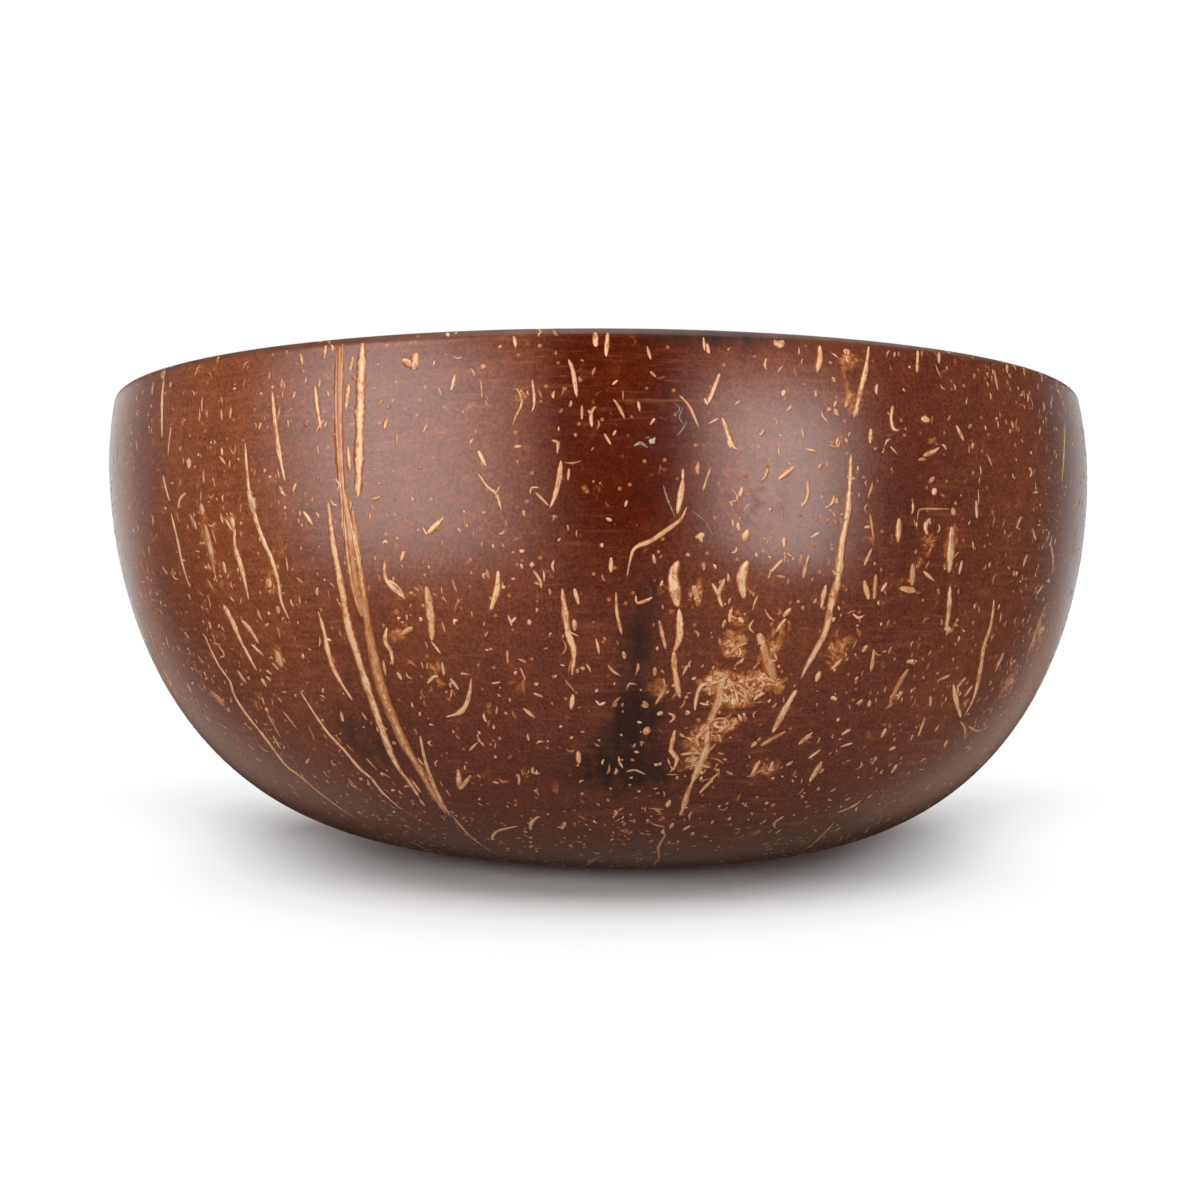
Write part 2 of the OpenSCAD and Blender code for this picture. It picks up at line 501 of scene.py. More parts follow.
    def _hollow(self, recipe: Recipe, place: Socket, sand: Socket) -> Socket:
        """Colour of the hollow: browner, with soft streaks that run down to its floor."""
        across = recipe.vector("NORMALIZE", recipe.vector("MULTIPLY", place, self.HOLLOW_STRETCH))
        streaks = recipe.noise(across, *self.HOLLOW_STREAK_NOISE)
        patches = recipe.noise(place, *self.HOLLOW_PATCH_NOISE)
        share = recipe.fade(patches, *self.HOLLOW_PATCH_FADE)
        ground = recipe.mix(share, self.HOLLOW_DEEP, self.HOLLOW_MAIN)
        streaked = recipe.mix(recipe.fade(streaks, *self.HOLLOW_STREAK_FADE), ground, self.HOLLOW_STREAK)
        sandy = recipe.fade(sand, *self.HOLLOW_SAND_FADE)
        return recipe.mix(sandy, streaked, self.HOLLOW_DEEP, "MULTIPLY")

    def _cut(self, recipe: Recipe, place: Socket, sand: Socket) -> Socket:
        """Colour of the sawn and sanded faces, where the wall's grain shows end on."""
        grain = recipe.noise(place, *self.CUT_NOISE)
        ground = recipe.mix(recipe.fade(grain, *self.CUT_FADE), self.CUT_MAIN, self.CUT_GRAIN)
        return recipe.mix(recipe.fade(sand, *self.CUT_SAND_FADE), ground, self.PORE)

    def put(self, recipe: Recipe, masks: tuple[str, ...]) -> object:
        """Places the group in a material.

        Args:
            recipe: The material's recipe.
            masks: The masks that the finish reads from its mesh. The others stay at 0.

        Returns:
            The group's outputs.
        """
        node = recipe.tree.nodes.new("ShaderNodeGroup")
        node.node_tree = self.tree
        recipe.feed(node.inputs["Place"], recipe.own_place())
        for name in masks:
            recipe.feed(node.inputs[name], recipe.attribute(name.lower()))
        return node.outputs


@dataclass(frozen=True)
class ShellFinish:
    """Oiled and buffed shell: a satin body under a thin clear polish."""

    tone: ShellTone
    relief_mm: float = 0.02
    specular: float = 0.42
    coat_weight: float = 0.25
    coat_rough: float = 0.12

    def material(self) -> bpy.types.Material:
        """Builds the material."""
        made, recipe = new_material("polished_shell")
        look = self.tone.put(recipe, ShellTone.MASKS)
        recipe.surface(look["Color"], look["Rough"], look["Relief"], self.relief_mm * MM, {
            "Specular IOR Level": self.specular,
            "Coat Weight": recipe.math("MULTIPLY", look["Polish"], self.coat_weight),
            "Coat Roughness": self.coat_rough,
        })
        return made


@dataclass(frozen=True)
class FibreFinish:
    """Cream fibre under the same polish. Its edges run out into the shell's own brown."""

    MASKS = ("Stain", "Inside", "Cut", "Warm_and_lit", "Deep_and_shaded")
    HALO_REACH = (-0.15, 0.12)
    FRINGE_FADE = (0.0, 0.3)
    MIDDLE_FADE = (0.26, 0.62)
    RAGGED_NOISE = (1700.0, 4.0, 0.65)
    RAGGED_REACH = 0.8
    CLOUD_NOISE = (800.0, 4.0, 0.65, 0.8)
    RUST_FADE = (0.54, 0.36, 0.0, 0.8)
    VEINS_ACROSS = 1.6
    VEINS_ALONG = 420.0
    VEIN_NOISE = (1.3, 3.0, 0.65)
    VEIN_FADE = (0.46, 0.66, 0.0, 0.8)

    tone: ShellTone
    name: str
    core: Color = paint("f8c290")
    vein: Color = paint("fee4c0")
    edge: Color = paint("b8622c")
    dim: Color = paint("b06a36")
    halo: float = 0.2
    relief_mm: float = 0.03
    specular: float = 0.42
    coat_weight: float = 0.25
    coat_rough: float = 0.12

    def material(self) -> bpy.types.Material:
        """Builds the material."""
        made, recipe = new_material(self.name)
        look = self.tone.put(recipe, self.MASKS)
        core = self._core(recipe)
        halo = recipe.fade(core, *self.HALO_REACH, 0.0, self.halo)
        shaded = recipe.mix(halo, look["Color"], ShellTone.PORE)
        fringed = recipe.mix(recipe.fade(core, *self.FRINGE_FADE), shaded, self.edge)
        color = recipe.mix(recipe.fade(core, *self.MIDDLE_FADE), fringed, self._veined(recipe))
        recipe.surface(color, look["Rough"], look["Relief"], self.relief_mm * MM, {
            "Specular IOR Level": self.specular,
            "Coat Weight": self.coat_weight,
            "Coat Roughness": self.coat_rough,
        })
        return made

    def _core(self, recipe: Recipe) -> Socket:
        """How far inside the fibre's ragged edge a point lies."""
        noise = recipe.noise(recipe.own_place(), *self.RAGGED_NOISE)
        ragged = recipe.math("MULTIPLY_ADD", noise, self.RAGGED_REACH, -self.RAGGED_REACH / 2)
        inward = recipe.math("SUBTRACT", 1.0, recipe.math("ABSOLUTE", recipe.attribute("across")))
        return recipe.math("MULTIPLY_ADD", inward, recipe.attribute("body"), ragged)

    def _veined(self, recipe: Recipe) -> Socket:
        """Colour of the fibre's middle: cream or dim, rusty in clouds, with pale veins along it."""
        tone = recipe.attribute("tone")
        bright = recipe.mix(tone, self.dim, self.core)
        clouds = recipe.noise(recipe.own_place(), *self.CLOUD_NOISE)
        rusty = recipe.mix(recipe.fade(clouds, *self.RUST_FADE), bright, self.edge)
        lines = recipe.node("CombineXYZ", {
            0: recipe.math("MULTIPLY", recipe.attribute("across"), self.VEINS_ACROSS),
            1: recipe.math("MULTIPLY", recipe.attribute("along"), self.VEINS_ALONG),
        }).outputs[0]
        pale = recipe.fade(recipe.noise(lines, *self.VEIN_NOISE), *self.VEIN_FADE)
        return recipe.mix(recipe.math("MULTIPLY", pale, tone), rusty, self.vein)


@dataclass(frozen=True)
class FillerFinish:
    """Shell dust bound in glue and sanded flush: near black, with brown crumbs and a dull face."""

    CRUMB_SCALE = 1500.0
    CRUMB_FADE = (0.5, 0.1)
    CLOUD_NOISE = (420.0, 3.0)
    ROUGH_FADE = (0.2, 0.8, 0.45, 0.7)

    ground: Color = paint("35200f")
    crumb: Color = paint("6f472b")
    relief_mm: float = 0.05
    relief_shown: float = 0.6

    def material(self) -> bpy.types.Material:
        """Builds the material."""
        made, recipe = new_material("eye_filler")
        place = recipe.own_place()
        crumbs = recipe.fade(recipe.cells(place, self.CRUMB_SCALE), *self.CRUMB_FADE)
        clouds = recipe.noise(place, *self.CLOUD_NOISE)
        color = recipe.mix(recipe.math("MULTIPLY", crumbs, clouds), self.ground, self.crumb)
        rough = recipe.fade(clouds, *self.ROUGH_FADE)
        recipe.surface(color, rough, crumbs, self.relief_mm * MM, strength=self.relief_shown)
        return made


@dataclass(frozen=True)
class Patch:
    """A soft round spot of the photograph's bowl, by its pixel, with its half width and height in pixels."""

    x: float
    y: float
    half_width: float
    half_height: float
    strength: float = 1.0


@dataclass(frozen=True)
class Strand:
    """A fibre strand of the photograph's bowl, by its width and the pixels along its middle.

    A tone of 1 is cream and a lower one is rustier. A taper near 0 gives blunt ends, and one near 1
    pointed ones.
    """

    width: float
    route: tuple[Pixel, ...]
    tone: float = 1.0
    taper: float = 0.5


STAINS = (
    Patch(638, 640, 18, 44, 0.8),
    Patch(650, 590, 12, 24, 0.5),
    Patch(634, 715, 26, 46, 1.1),
    Patch(622, 770, 48, 26, 1.0),
    Patch(590, 790, 330, 80, 0.24),
    Patch(385, 725, 60, 60, 0.2),
    Patch(716, 336, 74, 11, 1.0),
    Patch(842, 822, 28, 9, 0.5),
    Patch(900, 500, 30, 16, 0.35),
    Patch(655, 490, 14, 18, 0.3),
    Patch(236, 690, 14, 34, 0.35),
    Patch(370, 740, 34, 30, 0.5),
)

# Partly painted light: the patches on the two softbox highlights and on the left and right edges paint the
# shell brighter where it is lit; the weaker ones lower down warm its tone.
LIT_AND_WARM_PATCHES = (
    Patch(215, 470, 110, 190, 1.3),
    Patch(400, 450, 90, 130, 0.85),
    Patch(510, 440, 50, 120, 0.4),
    Patch(770, 450, 60, 110, 0.95),
    Patch(870, 440, 45, 110, 0.25),
    Patch(1020, 520, 70, 230, 0.5),
    Patch(122, 470, 36, 170, 1.2),
    Patch(300, 680, 70, 70, 0.2),
    Patch(940, 700, 60, 80, 0.4),
    Patch(430, 610, 60, 50, 0.3),
    Patch(780, 630, 70, 50, 0.25),
)

# Painted shade: darker patches on the dark gap between the two softbox highlights and just right of the right
# one.
SHADED_GAP_PATCHES = (
    Patch(590, 400, 42, 130, 1.2),
    Patch(645, 420, 40, 120, 1.2),
    Patch(905, 470, 35, 90, 0.4),
)

MOTTLES = (
    Patch(212, 545, 10, 34, 0.55),
    Patch(232, 520, 8, 13, 0.8),
    Patch(268, 580, 8, 18, 0.7),
    Patch(203, 590, 14, 14, 0.35),
    Patch(279, 658, 7, 14, 0.8),
    Patch(218, 699, 10, 10, 0.45),
    Patch(711, 683, 13, 8, 1.1),
    Patch(727, 682, 9, 12, 1.1),
    Patch(738, 695, 18, 12, 1.4),
    Patch(720, 727, 13, 9, 1.1),
    Patch(701, 737, 10, 11, 1.0),
    Patch(695, 760, 13, 11, 0.95),
    Patch(733, 649, 10, 9, 0.7),
    Patch(768, 660, 8, 22, 1.1),
    Patch(762, 682, 9, 6, 0.9),
    Patch(782, 684, 9, 8, 0.6),
    Patch(838, 654, 12, 18, 0.7),
    Patch(697, 593, 7, 10, 0.8),
    Patch(928, 550, 10, 16, 0.5),
    Patch(950, 550, 7, 24, 0.7),
    Patch(910, 585, 11, 9, 0.5),
    Patch(870, 525, 8, 14, 0.45),
    Patch(850, 400, 8, 16, 0.6),
    Patch(847, 359, 8, 9, 0.9),
    Patch(1010, 680, 13, 18, 0.5),
    Patch(1040, 635, 11, 24, 0.55),
    Patch(662, 690, 7, 14, 0.5),
    Patch(515, 682, 11, 9, 0.4),
    Patch(438, 672, 12, 12, 0.4),
    Patch(520, 398, 9, 9, 0.3),
    Patch(400, 632, 11, 8, 0.55),
    Patch(738, 618, 11, 9, 0.55),
    Patch(764, 768, 12, 9, 0.7),
    Patch(900, 690, 9, 18, 0.45),
    Patch(785, 630, 11, 9, 0.4),
)

SCUFFS = (
    Patch(758, 498, 26, 24, 1.0),
    Patch(681, 420, 8, 20, 0.9),
)

LEFT_STRANDS = (
    Strand(3.9, ((164, 378), (162, 401), (162, 438))),
    Strand(2.8, ((171, 426), (169, 443), (168, 456)), 0.6),
    Strand(3.4, ((163, 475), (166, 489), (170, 502))),
    Strand(3.9, ((171, 513), (177, 538), (183, 566), (190, 588))),
    Strand(3.4, ((186, 493), (180, 499), (178, 509)), 0.7),
    Strand(7.8, ((189, 458), (189, 469)), 0.8),
    Strand(2.8, ((203, 470), (204, 483)), 0.7),
    Strand(6.7, ((201, 503), (203, 516)), 0.6),
    Strand(6.7, ((205, 524), (211, 552), (215, 575)), 0.45),
    Strand(5.6, ((245, 442), (247, 471), (250, 499), (256, 520), (263, 540), (272, 560), (279, 585),
                 (281, 601), (290, 621))),
    Strand(9, ((250, 496), (255, 514)), 0.5),
    Strand(5.6, ((272, 390), (274, 411), (277, 438), (281, 462), (285, 481))),
    Strand(4.5, ((315, 385), (317, 405), (321, 430))),
    Strand(4.5, ((326, 345), (324, 359)), 0.9),
    Strand(9, ((340, 336), (339, 381), (339, 422), (340, 462), (343, 493)), 0.1, taper=0.2),
    Strand(2.9, ((337, 336), (336, 400), (337, 433), (339, 467), (342, 507), (344, 540)), 0.6),
    Strand(2.9, ((343, 340), (341, 400), (341, 433), (343, 483), (346, 507), (350, 533)), 0.6),
    Strand(11, ((343, 490), (348, 524), (351, 552), (356, 590), (363, 618)), 0.3, taper=0.3),
    Strand(3.4, ((346, 500), (355, 545), (362, 580), (366, 610)), 0.9),
    Strand(3.4, ((344, 512), (347, 550), (353, 590), (361, 615)), 0.8),
    Strand(5.6, ((353, 530), (358, 552), (361, 575), (364, 605)), 0.6, taper=0.3),
    Strand(10, ((352, 505), (356, 540), (361, 580), (366, 615), (371, 645), (378, 676), (385, 699),
                (394, 721), (406, 748), (418, 766), (428, 784), (440, 805), (449, 817)), 0.3, taper=0.3),
    Strand(4.5, ((361, 590), (364, 611), (368, 631), (372, 652), (378, 676), (385, 699), (394, 721),
                 (406, 748), (418, 766), (428, 784), (440, 805), (449, 817)), 0.75, taper=0.3),
    Strand(9, ((363, 336), (361, 381), (360, 422), (359, 462), (358, 499)), taper=0.3),
    Strand(4.5, ((353, 356), (350, 371)), 0.9),
    Strand(5.6, ((349, 383), (346, 410)), 0.9),
    Strand(5.6, ((348, 446), (350, 473)), 0.6),
    Strand(8.4, ((328, 500), (331, 528), (335, 554), (342, 590), (348, 625), (357, 654), (367, 686),
                 (379, 721), (391, 754), (401, 772), (412, 786), (428, 812)), taper=0.4),
    Strand(5, ((420, 735), (424, 756), (430, 776), (440, 799), (451, 817)), 0.85),
    Strand(3, ((451, 814), (470, 836), (492, 852)), 0.7),
    Strand(3.4, ((412, 780), (421, 793)), 0.8),
    Strand(5, ((203, 632), (212, 652), (222, 671), (230, 680), (234, 695), (247, 715), (263, 735), (277, 754),
               (287, 767), (300, 776), (316, 790), (340, 808), (362, 822))),
    Strand(7.8, ((223, 604), (233, 623), (242, 644))),
    Strand(4.5, ((240, 640), (251, 660), (257, 671))),
    Strand(5.6, ((241, 620), (251, 631), (259, 644)), 0.7),
    Strand(3.4, ((251, 644), (264, 656))),
    Strand(4.5, ((261, 678), (267, 687))),
    Strand(3.4, ((266, 676), (271, 681))),
    Strand(9, ((276, 650), (282, 668)), 0.5),
    Strand(3.4, ((272, 663), (279, 670))),
    Strand(9, ((268, 578), (270, 588)), 0.8),
    Strand(6.7, ((277, 606), (279, 614)), 0.6),
    Strand(9, ((231, 517), (234, 528)), 0.75),
    Strand(3.4, ((225, 519), (232, 530)), 0.8),
    Strand(5.6, ((235, 528), (235, 546), (242, 570), (249, 600))),
    Strand(4.5, ((190, 515), (197, 530)), 0.5),
    Strand(4.5, ((223, 561), (226, 574)), 0.9),
    Strand(5.6, ((318, 611), (324, 631), (328, 652), (336, 674), (353, 701))),
    Strand(4.5, ((300, 691), (314, 713), (328, 733), (344, 750), (361, 770), (371, 778), (383, 793),
                 (402, 810))),
    Strand(3.4, ((341, 711), (343, 722))),
    Strand(2.8, ((366, 758), (378, 771)), 0.4),
    Strand(8.5, ((426, 586), (429, 605), (431, 621), (432, 641)), 0.75),
    Strand(3, ((431, 641), (441, 654))),
    Strand(4.5, ((387, 627), (385, 641), (391, 652), (393, 666))),
    Strand(3.4, ((397, 672), (402, 680))),
    Strand(5.6, ((400, 635), (413, 627)), 0.5),
    Strand(3.4, ((383, 660), (386, 676)), 0.6),
    Strand(5, ((385, 559), (386, 580), (406, 599))),
    Strand(4.5, ((386, 580), (396, 585), (405, 600)), 0.8),
    Strand(5, ((444, 517), (427, 534))),
    Strand(3.5, ((422, 526), (427, 535))),
    Strand(6.7, ((402, 359), (413, 366)), 0.8),
    Strand(6.7, ((416, 352), (414, 371)), 0.8),
    Strand(3.5, ((455, 374), (451, 391))),
)

MIDDLE_STRANDS = (
    Strand(2, ((481, 380), (482, 398)), 0.6),
    Strand(2.5, ((510, 390), (517, 389), (522, 402), (516, 416), (512, 427)), 0.7),
    Strand(2.9, ((532, 379), (534, 395), (534, 407), (531, 413)), 0.8),
    Strand(3.7, ((568, 359), (573, 371), (577, 398)), 0.8),
    Strand(2.5, ((582, 405), (582, 420)), 0.6),
    Strand(5, ((595, 328), (596, 347))),
    Strand(4.5, ((608, 328), (606, 357))),
    Strand(2.5, ((618, 380), (612, 385)), 0.8),
    Strand(2.5, ((613, 399), (618, 405), (625, 419)), 0.6),
    Strand(2.5, ((638, 401), (640, 412)), 0.8),
    Strand(2.5, ((655, 418), (650, 425)), 0.6),
    Strand(2.5, ((647, 346), (651, 360)), 0.6),
    Strand(2.5, ((650, 371), (656, 377)), 0.7),
    Strand(4, ((707, 343), (709, 354)), 0.8),
    Strand(4, ((720, 373), (708, 404))),
    Strand(3, ((704, 398), (708, 405))),
    Strand(2.5, ((679, 395), (690, 407), (699, 428)), 0.55),
    Strand(3.3, ((596, 406), (591, 413), (592, 428)), 0.8),
    Strand(2.5, ((588, 410), (592, 415)), 0.8),
    Strand(2.5, ((604, 433), (611, 445)), 0.8),
    Strand(2.5, ((616, 430), (613, 436)), 0.6),
    Strand(2.9, ((551, 440), (558, 442), (557, 454)), 0.6),
    Strand(4, ((478, 450), (486, 467)), 0.9),
    Strand(3, ((477, 472), (489, 489), (496, 493), (502, 512)), 0.85),
    Strand(2, ((500, 486), (496, 493)), 0.6),
    Strand(4.5, ((561, 460), (559, 479), (554, 499), (549, 509)), 0.8),
    Strand(2.5, ((535, 492), (543, 500), (549, 506)), 0.6),
    Strand(2.5, ((569, 468), (568, 481)), 0.6),
    Strand(2.9, ((522, 446), (514, 447)), 0.7),
    Strand(2.9, ((606, 518), (612, 521)), 0.7),
    Strand(2.5, ((627, 500), (625, 507)), 0.7),
    Strand(5.7, ((683, 478), (681, 496), (677, 515)), 0.8, taper=0.7),
    Strand(2.9, ((683, 468), (683, 480)), 0.8),
    Strand(3.7, ((687, 506), (681, 519), (667, 530), (651, 541), (635, 548), (630, 562), (627, 577)), 0.7),
    Strand(4, ((611, 557), (611, 573)), 0.9),
    Strand(3.5, ((653, 554), (655, 564)), 0.6),
    Strand(3, ((554, 560), (552, 566), (554, 572)), 0.7),
    Strand(3.5, ((533, 570), (541, 582), (541, 589)), 0.8),
    Strand(6, ((498, 570), (497, 590), (490, 611))),
    Strand(6.5, ((562, 588), (565, 613), (569, 637), (574, 650), (572, 676))),
    Strand(4, ((573, 694), (571, 710))),
    Strand(4, ((574, 588), (579, 605))),
    Strand(4, ((574, 619), (575, 631)), 0.8),
    Strand(3.5, ((616, 591), (617, 613), (622, 635)), 0.7),
    Strand(3, ((636, 595), (637, 603), (645, 601), (653, 597)), 0.7),
    Strand(3, ((659, 620), (666, 650)), 0.7),
    Strand(4, ((623, 651), (625, 659)), 0.9),
    Strand(9, ((679, 560), (673, 575), (675, 590), (678, 608)), taper=0.45),
    Strand(7, ((679, 608), (680, 625), (679, 640), (673, 653))),
    Strand(6, ((674, 650), (675, 672), (680, 699)), 0.85),
    Strand(3, ((663, 678), (665, 688), (655, 705)), 0.5),
    Strand(3.5, ((657, 715), (663, 712)), 0.8),
    Strand(3, ((668, 713), (675, 717), (669, 723)), 0.7),
    Strand(5, ((675, 730), (671, 751), (677, 758), (673, 771))),
    Strand(7, ((643, 730), (650, 732)), 0.85),
    Strand(3, ((595, 700), (600, 705), (606, 702)), 0.9),
    Strand(4, ((578, 751), (579, 764)), 0.8),
    Strand(4.5, ((471, 678), (470, 690), (466, 705), (459, 713), (446, 717)), 0.85),
    Strand(3, ((427, 684), (433, 677), (439, 676)), 0.9),
    Strand(3, ((450, 678), (459, 690)), 0.9),
    Strand(3, ((442, 662), (444, 676)), 0.7),
    Strand(3, ((533, 693), (543, 697)), 0.8),
    Strand(3, ((523, 708), (535, 718)), 0.7),
    Strand(2.5, ((507, 650), (508, 664)), 0.4),
    Strand(3, ((508, 615), (512, 626)), 0.9),
    Strand(3, ((516, 617), (511, 623)), 0.9),
    Strand(5, ((458, 769), (460, 790))),
    Strand(3.5, ((460, 790), (471, 775)), 0.8),
    Strand(2.5, ((626, 772), (635, 770), (646, 775)), 0.6),
    Strand(4, ((539, 816), (531, 823), (531, 831)), 0.9),
    Strand(3.5, ((492, 841), (496, 832), (518, 826)), 0.9),
    Strand(2.5, ((584, 867), (600, 856)), 0.4),
    Strand(4, ((565, 822), (562, 830)), 0.7),
    Strand(3, ((653, 808), (661, 813)), 0.6),
    Strand(8.5, ((728, 672), (720, 690), (720, 699), (714, 712), (708, 726)), 0.55),
    Strand(7.5, ((708, 723), (707, 734), (707, 746), (703, 758), (698, 770), (690, 787)), 0.8),
    Strand(5.5, ((692, 782), (687, 795), (684, 805), (680, 816)), 0.75),
    Strand(4, ((730, 674), (718, 682), (702, 685), (696, 700), (695, 711)), 0.9),
    Strand(3, ((726, 676), (733, 685), (737, 697), (738, 706)), 0.85),
    Strand(3, ((729, 680), (741, 687), (752, 695)), 0.6),
    Strand(2.5, ((724, 679), (712, 684), (704, 691)), 0.6),
    Strand(2.5, ((722, 692), (729, 699), (731, 706)), 0.8),
    Strand(2.5, ((734, 690), (744, 697), (749, 704)), 0.7),
    Strand(2.5, ((709, 722), (720, 718), (730, 722), (723, 731), (712, 732)), 0.5),
    Strand(4, ((704, 732), (696, 738), (700, 748)), 0.6),
    Strand(4, ((680, 755), (692, 753), (702, 754)), 0.7),
    Strand(4, ((685, 768), (698, 765), (711, 768)), 0.7),
    Strand(3, ((699, 794), (719, 772)), 0.8),
    Strand(8, ((758, 633), (764, 645))),
    Strand(9, ((763, 643), (768, 662), (776, 683)), 0.35, taper=0.4),
    Strand(4, ((748, 643), (738, 646), (728, 657)), 0.45),
    Strand(3, ((756, 684), (766, 678), (776, 683)), 0.6),
    Strand(4, ((673, 823), (670, 829)), 0.7),
    Strand(3, ((666, 834), (658, 848), (659, 858), (652, 866)), 0.6),
)

